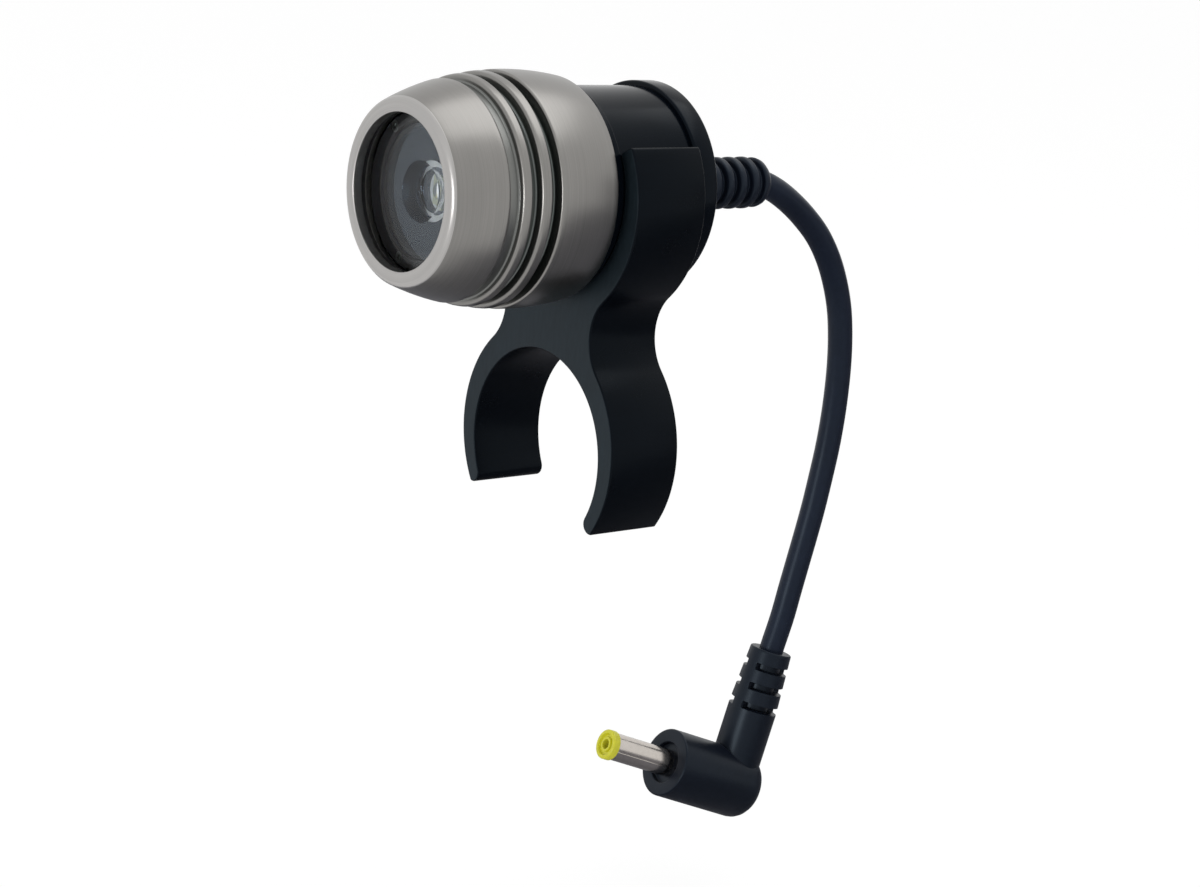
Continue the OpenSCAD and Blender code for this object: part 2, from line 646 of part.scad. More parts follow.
module plug_body() color([0.07, 0.08, 0.10]) difference() {
    union() {
        on_entry() difference() {
            union() {
                cylinder(r1 = entry_top_r, r2 = entry_r, h = entry_relief_l);
                translate([0, 0, entry_relief_l]) cylinder(r = entry_r, h = entry_l - entry_relief_l);
            }
            for (k = [1 : slot_count])
                translate([0, 0, k * entry_relief_l / slot_count - slot_w]) entry_slot();
        }
        on_plug() difference() {
            translate([0, 0, -plug_rear_l]) cylinder(r = plug_r, h = plug_rear_l + plug_front_l);
            rotate_extrude() difference() {
                translate([plug_r - plug_round, -plug_rear_l - 1]) square([plug_round + 1, plug_round + 1]);
                translate([plug_r - plug_round, plug_round - plug_rear_l]) circle(r = plug_round, $fn = 64);
            }
        }
    }
    on_plug() {
        disc(recess_r, plug_front_l - recess_depth, plug_front_l + over);
        disc(barrel_d / 2, plug_root_s, plug_front_l);
    }
}

// Two half slots of the plug's relief, with a web left at each side
module entry_slot() difference() {
    disc(entry_r + over, 0, slot_w);
    disc(slot_core_r, -over, slot_w + over);
    translate([-slot_web_w / 2, -entry_r - over, -over]) cube([slot_web_w, 2 * (entry_r + over), slot_w + 2 * over]);
}

module plug_barrel() color([0.78, 0.75, 0.72]) on_plug()
    ring(barrel_d / 2, barrel_d / 2 - barrel_wall, plug_root_s, barrel_tip_s);

module plug_insulator() color([0.85, 0.82, 0.20]) on_plug()
    ring(barrel_d / 2 - barrel_wall - sleeve_gap, inner_d / 2 + contact_wall + sleeve_gap,
        plug_root_s, barrel_tip_s);

module plug_contact() color([0.80, 0.70, 0.40]) on_plug() difference() {
    disc(inner_d / 2 + contact_wall, plug_root_s, barrel_tip_s);
    disc(inner_d / 2, plug_root_s + plug_root_l / 4, barrel_tip_s + over);
}

module plug_tip() color([0.86, 0.84, 0.15]) on_plug()
    ring(tip_d / 2, inner_d / 2, barrel_tip_s, barrel_tip_s + tip_l);

clip_bracket();
bezel_ring();
glass_seal();
front_glass();
body_shell();
optic_lens();
optic_holder();
holder_screws();
led_board();
led_package();
led_dome();
led_die();
solder_joints();
led_wire_red();
led_wire_black();
driver_board();
driver_inductor();
driver_chips();
driver_capacitor();
body_seal();
rear_housing();
rear_cap();
rear_cap_seal();
cord_retainer();
cord_core_red();
cord_core_black();
strain_relief();
power_cord();
plug_body();
plug_barrel();
plug_insulator();
plug_contact();
plug_tip();
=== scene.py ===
# %% [markdown]
# # A clip-mounted lamp head, dressed in Blender
#
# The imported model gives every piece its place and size. This file makes the surfaces that are seen:
# the turned barrel, the window and what lies behind it, the sawn and milled clip, the cord and its plug.
# Everything is in metres, in the model's own frame: the bar that the lower clip grips runs along Y
# through the origin, the lamp sits above it, and its beam leaves along -Y.

# %% Load the frame
import json
import math

import bpy
import bmesh
import numpy as np
from mathutils import Matrix, Vector


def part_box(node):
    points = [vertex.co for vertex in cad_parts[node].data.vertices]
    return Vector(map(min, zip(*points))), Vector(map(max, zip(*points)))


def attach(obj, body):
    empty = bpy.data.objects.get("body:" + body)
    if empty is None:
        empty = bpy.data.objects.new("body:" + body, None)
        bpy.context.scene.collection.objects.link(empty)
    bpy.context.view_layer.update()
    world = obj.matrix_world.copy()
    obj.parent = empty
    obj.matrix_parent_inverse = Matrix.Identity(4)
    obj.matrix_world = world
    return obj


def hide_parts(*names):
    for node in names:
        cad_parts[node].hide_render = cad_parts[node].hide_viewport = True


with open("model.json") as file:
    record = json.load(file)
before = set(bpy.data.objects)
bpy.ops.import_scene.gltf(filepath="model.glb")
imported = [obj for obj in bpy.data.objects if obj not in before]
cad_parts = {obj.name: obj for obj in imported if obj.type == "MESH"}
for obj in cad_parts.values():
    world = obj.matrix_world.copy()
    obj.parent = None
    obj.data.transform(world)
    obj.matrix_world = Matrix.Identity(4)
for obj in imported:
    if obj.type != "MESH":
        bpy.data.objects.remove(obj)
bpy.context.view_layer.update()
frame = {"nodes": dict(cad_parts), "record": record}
MM = 0.001

# %% [markdown]
# ## Camera
#
# The camera is set by where it stands, the direction it looks in, and a small roll about that direction.
# Its three axes come straight from those angles: back points from the object to the camera, right is
# level before the roll, and up completes the set.

# %% Camera
CAMERA_PLACE = Vector((0.3119, -0.2561, 0.1071))
AZIMUTH, ELEVATION, ROLL = (math.radians(a) for a in (49.86, 14.77, 5.98))
FOCAL_MM = 77.86


def camera_axes(azimuth, elevation, roll):
    """Right, up and back of a camera: back is (sin az cos el, -cos az cos el, sin el); right and up are
    the level pair, turned by the roll about back."""
    back = Vector((math.sin(azimuth) * math.cos(elevation),
                   -math.cos(azimuth) * math.cos(elevation), math.sin(elevation)))
    level = Vector((math.cos(azimuth), math.sin(azimuth), 0))
    upright = back.cross(level)
    right = math.cos(roll) * level + math.sin(roll) * upright
    return right, back.cross(right), back


def make_camera():
    """The scene's camera, with a 36 mm wide sensor."""
    data = bpy.data.cameras.new("camera")
    data.sensor_width = 36
    data.lens = FOCAL_MM
    data.clip_start = 0.01
    camera = bpy.data.objects.new("camera", data)
    right, up, back = camera_axes(AZIMUTH, ELEVATION, ROLL)
    turn = Matrix((right, up, back)).transposed().to_4x4()
    camera.matrix_world = Matrix.Translation(CAMERA_PLACE) @ turn
    bpy.context.scene.collection.objects.link(camera)
    bpy.context.scene.camera = camera


make_camera()
print("camera at", tuple(round(c, 4) for c in CAMERA_PLACE), "with a", FOCAL_MM, "mm lens")

# %% [markdown]
# ## Surfaces from arrays
#
# Nearly every piece here was turned on a lathe or moulded round an axis. So one function makes a surface
# from a grid of points, and another carries a half section round an axis to get that grid. Whole arrays
# are worked out at once, and the mesh gets them in one call.

# %% Meshes from grids
def add_mesh(name, points, faces, uv=None, sharp_deg=32, depth=None):
    """A new object from points (N, 3) and faces. Faces are smooth, and edges that turn by more than
    sharp_deg stay crisp. uv (N, 2) gives each point its place on the piece's own map, and depth (N)
    becomes an attribute of that name."""
    mesh = bpy.data.meshes.new(name)
    mesh.from_pydata(points.tolist(), [], faces if isinstance(faces, list) else faces.tolist())
    if uv is not None:
        corner = np.empty(len(mesh.loops), np.int32)
        mesh.loops.foreach_get("vertex_index", corner)
        layer = mesh.uv_layers.new(name="UVMap")
        layer.data.foreach_set("uv", uv[corner].astype(np.float32).ravel())
    if depth is not None:
        mesh.attributes.new("depth", "FLOAT", "POINT").data.foreach_set("value", depth.astype(np.float32))
    mesh.update()
    tidy_mesh(mesh, sharp_deg)
    piece = bpy.data.objects.new(name, mesh)
    bpy.context.scene.collection.objects.link(piece)
    return piece


def tidy_mesh(mesh, sharp_deg):
    """Closes seams and poles, turns every face outwards, and marks the crisp edges."""
    work = bmesh.new()
    work.from_mesh(mesh)
    bmesh.ops.remove_doubles(work, verts=work.verts, dist=1e-7)
    bmesh.ops.dissolve_degenerate(work, dist=1e-8, edges=work.edges)
    bmesh.ops.recalc_face_normals(work, faces=work.faces)
    work.to_mesh(mesh)
    work.free()
    mesh.shade_smooth()
    mesh.set_sharp_from_angle(angle=math.radians(sharp_deg))


def face_normals(piece):
    """The direction of each face, as an array (N, 3)."""
    normals = np.empty(len(piece.data.polygons) * 3)
    piece.data.polygons.foreach_get("normal", normals)
    return normals.reshape(-1, 3)


def grid_faces(rows, cols, wrap_rows, wrap_cols):
    """Quads of a grid of points: each joins a point with its neighbours along the row and the column."""
    last_r = rows if wrap_rows else rows - 1
    last_c = cols if wrap_cols else cols - 1
    r, c = np.meshgrid(np.arange(last_r), np.arange(last_c), indexing="ij")
    r2, c2 = (r + 1) % rows, (c + 1) % cols
    quads = np.stack([r * cols + c, r * cols + c2, r2 * cols + c2, r2 * cols + c], -1)
    return quads.reshape(-1, 4)


# %% [markdown]
# A machined corner is never quite sharp. `rounded` takes the corners of a half section, in millimetres,
# and swaps each one for a small arc, so that edges catch the light as real ones do.

# %% Rounded half sections and the lathe
def rounded(corners, radii, steps=6, closed=True):
    """Corners (N, 2) joined by straight lines, each corner i replaced by an arc of radii[i].
    The arc touches both lines at r / tan(half the angle between them) from the corner."""
    corners = np.asarray(corners, float)
    radii = np.broadcast_to(np.asarray(radii, float), len(corners))
    out = []
    for i, (p, r) in enumerate(zip(corners, radii)):
        a, b = corners[i - 1] - p, corners[(i + 1) % len(corners)] - p
        at_end = not closed and i in (0, len(corners) - 1)
        la, lb = np.linalg.norm(a), np.linalg.norm(b)
        if r <= 0 or at_end or la == 0 or lb == 0:
            out.append(p[None])
            continue
        a, b = a / la, b / lb
        half = math.acos(np.clip(a @ b, -1, 1)) / 2
        if half > math.radians(89):
            out.append(p[None])
            continue
        reach = min(r / math.tan(half), 0.49 * la, 0.49 * lb)
        r = reach * math.tan(half)
        middle = p + (a + b) / np.linalg.norm(a + b) * (r / math.sin(half))
        start, end = p + a * reach - middle, p + b * reach - middle
        sweep = math.pi - 2 * half
        t = np.linspace(0, 1, steps + 1)[:, None]
        arc = (np.sin((1 - t) * sweep) * start + np.sin(t * sweep) * end) / math.sin(sweep)
        out.append(middle + arc)
    return np.concatenate(out)


class Axis:
    """A place and direction in space that round pieces are made about."""

    def __init__(self, origin, direction):
        self.origin = np.array(origin, float)
        self.along = np.array(direction, float) / np.linalg.norm(direction)
        level = np.array([1.0, 0, 0]) - self.along[0] * self.along
        self.side = level / np.linalg.norm(level)
        self.across = np.cross(self.along, self.side)

    def place(self, radius, angle, along):
        """Points at a radius and angle about the axis and a distance along it, in millimetres."""
        r, a, s = np.broadcast_arrays(radius, angle, along)
        return (self.origin + MM * (r[..., None] * np.cos(a)[..., None] * self.side
                                    + r[..., None] * np.sin(a)[..., None] * self.across
                                    + s[..., None] * self.along))


SEAM_AT = math.radians(120)


def lathe(name, axis, section, turns=160, closed=True, angles=None, press=None, shade_of=None):
    """A half section (N, 2) of [radius, distance along the axis], in millimetres, carried once round.
    The map's u goes once round and its v is the distance along the section, in centimetres.
    press(angle, along, radius) gives the radius where it isn't the section's own, and shade_of(section)
    gives each point of the section a number from 0 to 1, kept as the attribute "depth"."""
    section = np.asarray(section, float)
    loop = np.vstack([section, section[:1]]) if closed else section
    path = np.concatenate([[0], np.cumsum(np.linalg.norm(np.diff(loop, axis=0), axis=1))]) / 10
    angle = np.linspace(0, 2 * math.pi, turns + 1) + SEAM_AT if angles is None else angles
    radius, turn = np.meshgrid(loop[:, 0], angle, indexing="ij")
    along = np.broadcast_to(loop[:, 1][:, None], radius.shape)
    if press is not None:
        radius = press(turn, along, radius)
    points = axis.place(radius, turn, along)
    u, v = np.meshgrid(angle / (2 * math.pi), path)
    faces = grid_faces(len(loop), len(angle), False, False)
    depth = None if shade_of is None else np.repeat(shade_of(loop), len(angle))
    return add_mesh(name, points.reshape(-1, 3), faces, np.stack([u.ravel(), v.ravel()], 1), depth=depth)


bezel_low, bezel_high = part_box("bezel_ring")
LAMP = Axis(((bezel_low.x + bezel_high.x) / 2, bezel_low.y, (bezel_low.z + bezel_high.z) / 2), (0, 1, 0))
print("lamp axis from", LAMP.origin.round(5), "along", LAMP.along)

# %% [markdown]
# ## Materials
#
# Each finish is a short function. Patterns read the piece's own map where they follow the turning of a
# piece, and object coordinates elsewhere, so they stay put from every side. A plain number that is the
# same all over the surface is set on the shader's own socket.

# %% A small kit for node materials
COOL = (0.70, 0.86, 1.0)  # tint of the sheen on the black pieces


def node_maker(tree):
    """A function that adds a node of a kind to the tree and sets its sockets and settings by name."""
    def node(kind, **values):
        made = tree.nodes.new("ShaderNode" + kind)
        for key, value in values.items():
            if key in made.inputs:
                made.inputs[key].default_value = value
            else:
                setattr(made, key, value)
        return made

    return node


def start_material(name, colour, metallic=0.0, roughness=0.5, **sockets):
    """A material with one Principled shader. Returns it with helpers to add and link nodes."""
    material = bpy.data.materials.new(name)
    material.use_nodes = True
    tree = material.node_tree
    shader = tree.nodes["Principled BSDF"]
    shader.inputs["Base Color"].default_value = (*colour, 1)
    shader.inputs["Metallic"].default_value = metallic
    shader.inputs["Roughness"].default_value = roughness
    for socket, value in sockets.items():
        shader.inputs[socket.replace("_", " ")].default_value = value
    return material, shader, node_maker(tree), tree.links.new


def stretched_noise(node, link, source, stretch, detail=4.0, roughness=0.6):
    """Noise on coordinates that are scaled by stretch (x, y, z): a long pattern has one small number."""
    mapping = node("Mapping")
    mapping.inputs["Scale"].default_value = stretch
    link(source, mapping.inputs["Vector"])
    noise = node("TexNoise", Scale=1.0, Detail=detail, Roughness=roughness)
    link(mapping.outputs["Vector"], noise.inputs["Vector"])
    return noise.outputs["Fac"]


def mixed(node, link, share, first, second):
    """A mean of two patterns: the second counts for share."""
    made = node("Mix", data_type="FLOAT")
    made.inputs[0].default_value = share
    link(first, made.inputs[2])
    link(second, made.inputs[3])
    return made.outputs[0]


def ramp(node, link, source, stops):
    """A colour ramp: stops are (place, colour) pairs."""
    made = node("ValToRGB")
    band = made.color_ramp
    for i, (place, colour) in enumerate(stops):
        element = band.elements[i] if i < 2 else band.elements.new(place)
        element.position = place
        element.color = (*colour, 1)
    link(source, made.inputs["Fac"])
    return made.outputs["Color"]


def spread(node, link, source, low, high):
    """Maps 0..1 to low..high."""
    made = node("MapRange")
    made.inputs["To Min"].default_value = low
    made.inputs["To Max"].default_value = high
    link(source, made.inputs["Value"])
    return made.outputs["Result"]


def bump(node, link, shader, source, depth_mm, strength=1.0):
    """Relief of the given depth from a height pattern."""
    made = node("Bump", Strength=strength, Distance=depth_mm * MM)
    link(source, made.inputs["Height"])
    link(made.outputs["Normal"], shader.inputs["Normal"])


def shade(tone, factor):
    """A colour made lighter or darker by a factor."""
    return tuple(min(1.0, c * factor) for c in tone)


# %% [markdown]
# Turned metal shows fine rings where the tool passed. On the map they run along u, so the noise is very
# stretched: few changes round the piece and hundreds along its section. Two sizes of ring are mixed, with
# faint broad patches over them, and the same rings drive roughness and a relief of a few microns.

# %% Finishes
def turned_metal(name, tone, roughness, ring_depth_mm=0.004, patches=0.08, painted_groove_shade=None):
    """Metal turned on a lathe: rings on the map's v, faint patches on object coordinates, and painted shade
    in
    the grooves: a darker tone where the attribute "depth" says that a point lies in a groove."""
    material, shader, node, link = start_material(name, tone, 1.0, roughness)
    place = node("TexCoord")
    fine = stretched_noise(node, link, place.outputs["UV"], (2.5, 210, 1), 4)
    coarse = stretched_noise(node, link, place.outputs["UV"], (1.2, 48, 1), 3)
    patch = stretched_noise(node, link, place.outputs["Object"], (150, 260, 150), 3)
    rings = mixed(node, link, 0.45, fine, coarse)
    both = mixed(node, link, patches, rings, patch)
    colour = ramp(node, link, both, [(0.3, shade(tone, 0.82)), (0.7, shade(tone, 1.16))])
    # Painted shade: points deep in a groove are darkened towards the groove's tone.
    if painted_groove_shade:
        depth = node("Attribute", attribute_name="depth")
        deep = node("Mix", data_type="RGBA")
        link(depth.outputs["Fac"], deep.inputs[0])
        link(colour, deep.inputs[6])
        deep.inputs[7].default_value = (*painted_groove_shade, 1)
        colour = deep.outputs[2]
    link(colour, shader.inputs["Base Color"])
    link(spread(node, link, rings, roughness - 0.07, roughness + 0.09), shader.inputs["Roughness"])
    bump(node, link, shader, rings, ring_depth_mm)
    return material


def satin(name, tone, roughness, grain=(2200, 2200, 2200), depth_mm=0.006, metallic=0.0, vary=0.18,
          specular=0.5, sheen_tone=(1.0, 1.0, 1.0)):
    """Moulded, anodised or sawn surface: a fine grain on object coordinates, stretched for a direction."""
    material, shader, node, link = start_material(
        name, tone, metallic, roughness, Specular_IOR_Level=specular, Specular_Tint=(*sheen_tone, 1))
    place = node("TexCoord")
    fine = stretched_noise(node, link, place.outputs["Object"], grain, 3)
    broad = stretched_noise(node, link, place.outputs["Object"], (90, 90, 90), 4)
    both = mixed(node, link, 0.5, fine, broad)
    colour = ramp(node, link, both, [(0.3, shade(tone, 1 - vary)), (0.7, shade(tone, 1 + vary))])
    link(colour, shader.inputs["Base Color"])
    link(spread(node, link, broad, roughness - 0.06, roughness + 0.08), shader.inputs["Roughness"])
    bump(node, link, shader, fine, depth_mm)
    return material


def clear(name, tint, ior, haze=0.03, specular=0.5, sheen_tone=(1.0, 1.0, 1.0)):
    """A clear solid: light passes and bends, with a trace of haze that varies over it."""
    material, shader, node, link = start_material(
        name, tint, 0.0, 0.0, IOR=ior, Transmission_Weight=1.0, Specular_IOR_Level=specular,
        Specular_Tint=(*sheen_tone, 1))
    place = node("TexCoord")
    pattern = stretched_noise(node, link, place.outputs["Object"], (300, 300, 300), 3)
    link(spread(node, link, pattern, 0, haze), shader.inputs["Roughness"])
    return material


# %% [markdown]
# ## The turned barrel
#
# The barrel is turned from bar in two pieces: a bezel that screws on at the front, and the body behind
# it with two fins. Both follow one swollen curve, a shallow arc of a 47 mm circle. Stations are counted
# in millimetres behind the front face. A lathe surface is the natural way to make them, because it can
# hold every small corner radius, and these are what make turned metal look turned.

# %% Sizes along the lamp
BARREL_R, SWELL_R, SWELL_AT = 18.2, 47.0, 19.5
WINDOW_R, GLASS_R, THREAD_R, WELL_R = 11.81, 13.21, 14.11, 12.41
GASKET_S, GLASS_S, GLASS_END_S, SPIGOT_S = 1.6, 2.3, 4.3, 4.35
BEZEL_END_S, SHOULDER_S, FIN1_S, GROOVE2_S = 8.6, 8.65, 10.4, 11.85
FIN2_S, GROOVE3_S, TAIL_S = 13.55, 15.2, 16.9
GROOVE_R, FLOOR_S, DRIVER_POCKET_S, DRIVER_S = 16.2, 11.35, 15.35, 17.35
BARREL_END_S, COLLAR_END_S, CAP_S, CAP_END_S, BOSS_END_S = 28.3, 30.0, 44.7, 48.7, 56.4
SPIGOT_R, TUBE_R, TUBE_BORE_R, COLLAR_R, CAP_R = 14.31, 15.81, 12.81, 16.41, 16.61
THREAD_PITCH, THREAD_DEPTH, THREAD_SHADE = 0.75, 0.35, 0.25


def swell(s):
    """Radius of the barrel's outside at station s: the height of an arc of SWELL_R about SWELL_AT."""
    return BARREL_R - SWELL_R + np.sqrt(SWELL_R**2 - (np.asarray(s, float) - SWELL_AT)**2)


def swell_run(first, last, count):
    """Points of the outside between two stations, as corners with no rounding."""
    return [(float(swell(s)), float(s)) for s in np.linspace(first, last, count)]


def section_of(*corners):
    """Corners given as (radius, station) or (radius, station, rounding)."""
    return rounded([c[:2] for c in corners], [c[2] if len(c) > 2 else 0 for c in corners])


def groove_painted_shade_of(section):
    """How much painted shade a point gets: how far it lies under the swollen outside, 0 at the surface and 1
    at 1.6 mm or more. All that lies in front of the shoulder, such as the thread, gets the one light painted
    shade THREAD_SHADE."""
    deep = np.clip((swell(section[:, 1]) - section[:, 0] - 0.1) / 1.5, 0, 1)
    return np.where(section[:, 1] < SHOULDER_S - 0.01, THREAD_SHADE, deep)


def thread_rings():
    """The spigot's thread as rings: a groove THREAD_DEPTH deep and half a pitch wide in each pitch."""
    rings = []
    for k in range(int((SHOULDER_S - SPIGOT_S) / THREAD_PITCH)):
        start = SPIGOT_S + (k + 0.5) * THREAD_PITCH
        rings += [(THREAD_R, start, 0.05), (THREAD_R - THREAD_DEPTH, start + 0.12),
                  (THREAD_R - THREAD_DEPTH, start + 0.26), (THREAD_R, start + THREAD_PITCH / 2, 0.05)]
    return rings


# %% Bezel and barrel
bezel_section = section_of(
    (WINDOW_R, 0, 0.2), (float(swell(0)), 0, 1.0), *swell_run(1.2, BEZEL_END_S - 1.3, 6),
    (float(swell(BEZEL_END_S)) - 0.02, BEZEL_END_S, 0.55), (THREAD_R + 0.1, BEZEL_END_S, 0.1),
    (THREAD_R + 0.1, GLASS_END_S), (GLASS_R + 0.1, GLASS_END_S), (GLASS_R + 0.1, GASKET_S),
    (WINDOW_R, GASKET_S, 0.1))
bezel = lathe("bezel_turned", LAMP, bezel_section, 200)

barrel_section = section_of(
    (0, FLOOR_S), (WELL_R, FLOOR_S), (WELL_R, SPIGOT_S), (THREAD_R, SPIGOT_S, 0.1), *thread_rings(),
    (THREAD_R, SHOULDER_S), (GROOVE_R, SHOULDER_S), (GROOVE_R, FIN1_S, 0.35),
    (float(swell(FIN1_S)), FIN1_S, 0.6),
    (float(swell(GROOVE2_S)), GROOVE2_S, 0.25), (GROOVE_R, GROOVE2_S, 0.35), (GROOVE_R, FIN2_S, 0.35),
    (float(swell(FIN2_S)), FIN2_S, 0.6), (float(swell(GROOVE3_S)), GROOVE3_S, 0.25),
    (GROOVE_R, GROOVE3_S, 0.35), (GROOVE_R, TAIL_S, 0.35), (float(swell(TAIL_S)), TAIL_S, 0.4),
    *swell_run(TAIL_S + 1.2, BARREL_END_S - 1.3, 8), (float(swell(BARREL_END_S)), BARREL_END_S, 0.6),
    (SPIGOT_R + 0.1, BARREL_END_S), (SPIGOT_R + 0.1, DRIVER_S), (WELL_R, DRIVER_S),
    (WELL_R, DRIVER_POCKET_S), (0, DRIVER_POCKET_S))
# Painted shade: the barrel's grooves are darkened by how deep each point lies.
barrel = lathe("barrel_turned", LAMP, barrel_section, 200, shade_of=groove_painted_shade_of)
print("barrel faces:", len(bezel.data.polygons), len(barrel.data.polygons))

# %% [markdown]
# ## The black tube and the rear cap
#
# Behind the barrel a plain black tube takes the upper clip, between a low collar and the flange of the
# rear cap. The cap's boss holds the cord's sleeve. All of it is anodised aluminium, so its corners are
# crisp with small radii.

# %% Tube and cap
SEAL_DEPTH, SEAL_HALF = 1.43, 0.85
tube_section = section_of(
    (TUBE_BORE_R, DRIVER_S + 1.25), (SPIGOT_R, DRIVER_S + 1.25, 0.3), (SPIGOT_R, 26.5 - SEAL_HALF),
    (SPIGOT_R - SEAL_DEPTH, 26.5 - SEAL_HALF), (SPIGOT_R - SEAL_DEPTH, 26.5 + SEAL_HALF),
    (SPIGOT_R, 26.5 + SEAL_HALF), (SPIGOT_R, BARREL_END_S), (COLLAR_R, BARREL_END_S, 0.3),
    (COLLAR_R, COLLAR_END_S, 0.3), (TUBE_R, COLLAR_END_S, 0.25), (TUBE_R, CAP_S), (TUBE_BORE_R, CAP_S))
tube = lathe("lamp_tube", LAMP, tube_section, 180)

CAP_SPIGOT_R, CAP_SPIGOT_S, SEAL_S = 12.71, 38.7, 42.9
BOSS_R, BOSS_END_R, GLAND_R, HEAD_R, HEAD_S = 7.0, 5.2, 3.35, 5.5, 46.3
cap_section = section_of(
    (HEAD_R, HEAD_S), (HEAD_R, CAP_SPIGOT_S), (CAP_SPIGOT_R, CAP_SPIGOT_S, 0.3),
    (CAP_SPIGOT_R, SEAL_S - SEAL_HALF), (CAP_SPIGOT_R - SEAL_DEPTH, SEAL_S - SEAL_HALF),
    (CAP_SPIGOT_R - SEAL_DEPTH, SEAL_S + SEAL_HALF), (CAP_SPIGOT_R, SEAL_S + SEAL_HALF),
    (CAP_SPIGOT_R, CAP_S), (CAP_R, CAP_S, 0.45), (CAP_R, CAP_END_S, 0.6), (BOSS_R, CAP_END_S, 0.7),
    (BOSS_R, (CAP_END_S + BOSS_END_S) / 2, 3), (BOSS_END_R, BOSS_END_S, 0.5), (GLAND_R, BOSS_END_S, 0.1),
    (GLAND_R, HEAD_S))
cap = lathe("rear_cap_turned", LAMP, cap_section, 180)
print("tube and cap faces:", len(tube.data.polygons), len(cap.data.polygons))

# %% [markdown]
# The cord's sleeve is moulded rubber: five round-backed ribs on a thin root, so that it bends evenly,
# and a domed end that hugs the cord.

# %% Ribbed sleeve
RIB_R, RIB_ROOT_R, RIB_PITCH, RIB_W, RIB_COUNT = 4.25, 3.1, 2.75, 1.6, 5
RIBS_END_S = BOSS_END_S + RIB_COUNT * RIB_PITCH
SLEEVE_END_S = RIBS_END_S + 2.4
CORD_R = 2.15
sleeve_corners = [(0, CAP_S), (HEAD_R - 0.1, CAP_S), (HEAD_R - 0.1, HEAD_S), (GLAND_R - 0.05, HEAD_S),
                  (GLAND_R - 0.05, BOSS_END_S), (RIB_ROOT_R, BOSS_END_S)]
for k in range(RIB_COUNT):
    start = BOSS_END_S + k * RIB_PITCH
    sleeve_corners += [(RIB_ROOT_R, start, 0.15), (RIB_R, start, 0.72), (RIB_R, start + RIB_W, 0.72),
                       (RIB_ROOT_R, start + RIB_W, 0.3)]
sleeve_corners += [(RIB_ROOT_R, RIBS_END_S, 0.3), (RIB_R, RIBS_END_S, 0.5), (RIB_R - 0.35, RIBS_END_S + 1.1),
                   (RIB_R - 0.95, RIBS_END_S + 1.85), (RIB_R - 1.7, SLEEVE_END_S - 0.05, 0.1),
                   (CORD_R, SLEEVE_END_S, 0.1), (0, SLEEVE_END_S)]
sleeve = lathe("cord_sleeve", LAMP, section_of(*sleeve_corners), 96)
print("sleeve ends", SLEEVE_END_S, "mm behind the front face, after", RIB_COUNT, "ribs")

# %% [markdown]
# ## The double clip
#
# The clip was sawn from an extruded profile, so its outline is the same all through: two circles joined
# by a neck with fillets, bored for the bar below and the lamp above. The outline is a chain of arcs. It
# is given a rounded edge by stacking copies of it, each moved inwards a little less than the last, as a
# quarter circle says. The sawn faces and the extruded sides get different finishes.

# %% Clip outline
AXIS_GAP, BAR_SEAT_R, LAMP_SEAT_R, CLIP_OUT_R, CROWN = 42.0, 16.0, 15.86, 19.4, 1.2
CLIP_W, NECK_HALF_W, MOUTH_DEG, TIP_DROP = 13.4, 11.0, 60.5, 9.9
TIP_ROUND, TIP_OUTER_ROUND, MOUTH_ROUND = 1.6, 0.5, 0.5


def arc(centre, radius, start_deg, end_deg, steps):
    """Points on a circle from one bearing to another, counted anticlockwise from +X."""
    a = np.radians(np.linspace(start_deg, end_deg, steps))
    return np.array(centre) + radius * np.stack([np.cos(a), np.sin(a)], 1)


def bearing(centre, point):
    """The bearing of a point from a centre, in degrees."""
    return math.degrees(math.atan2(point[1] - centre[1], point[0] - centre[0]))


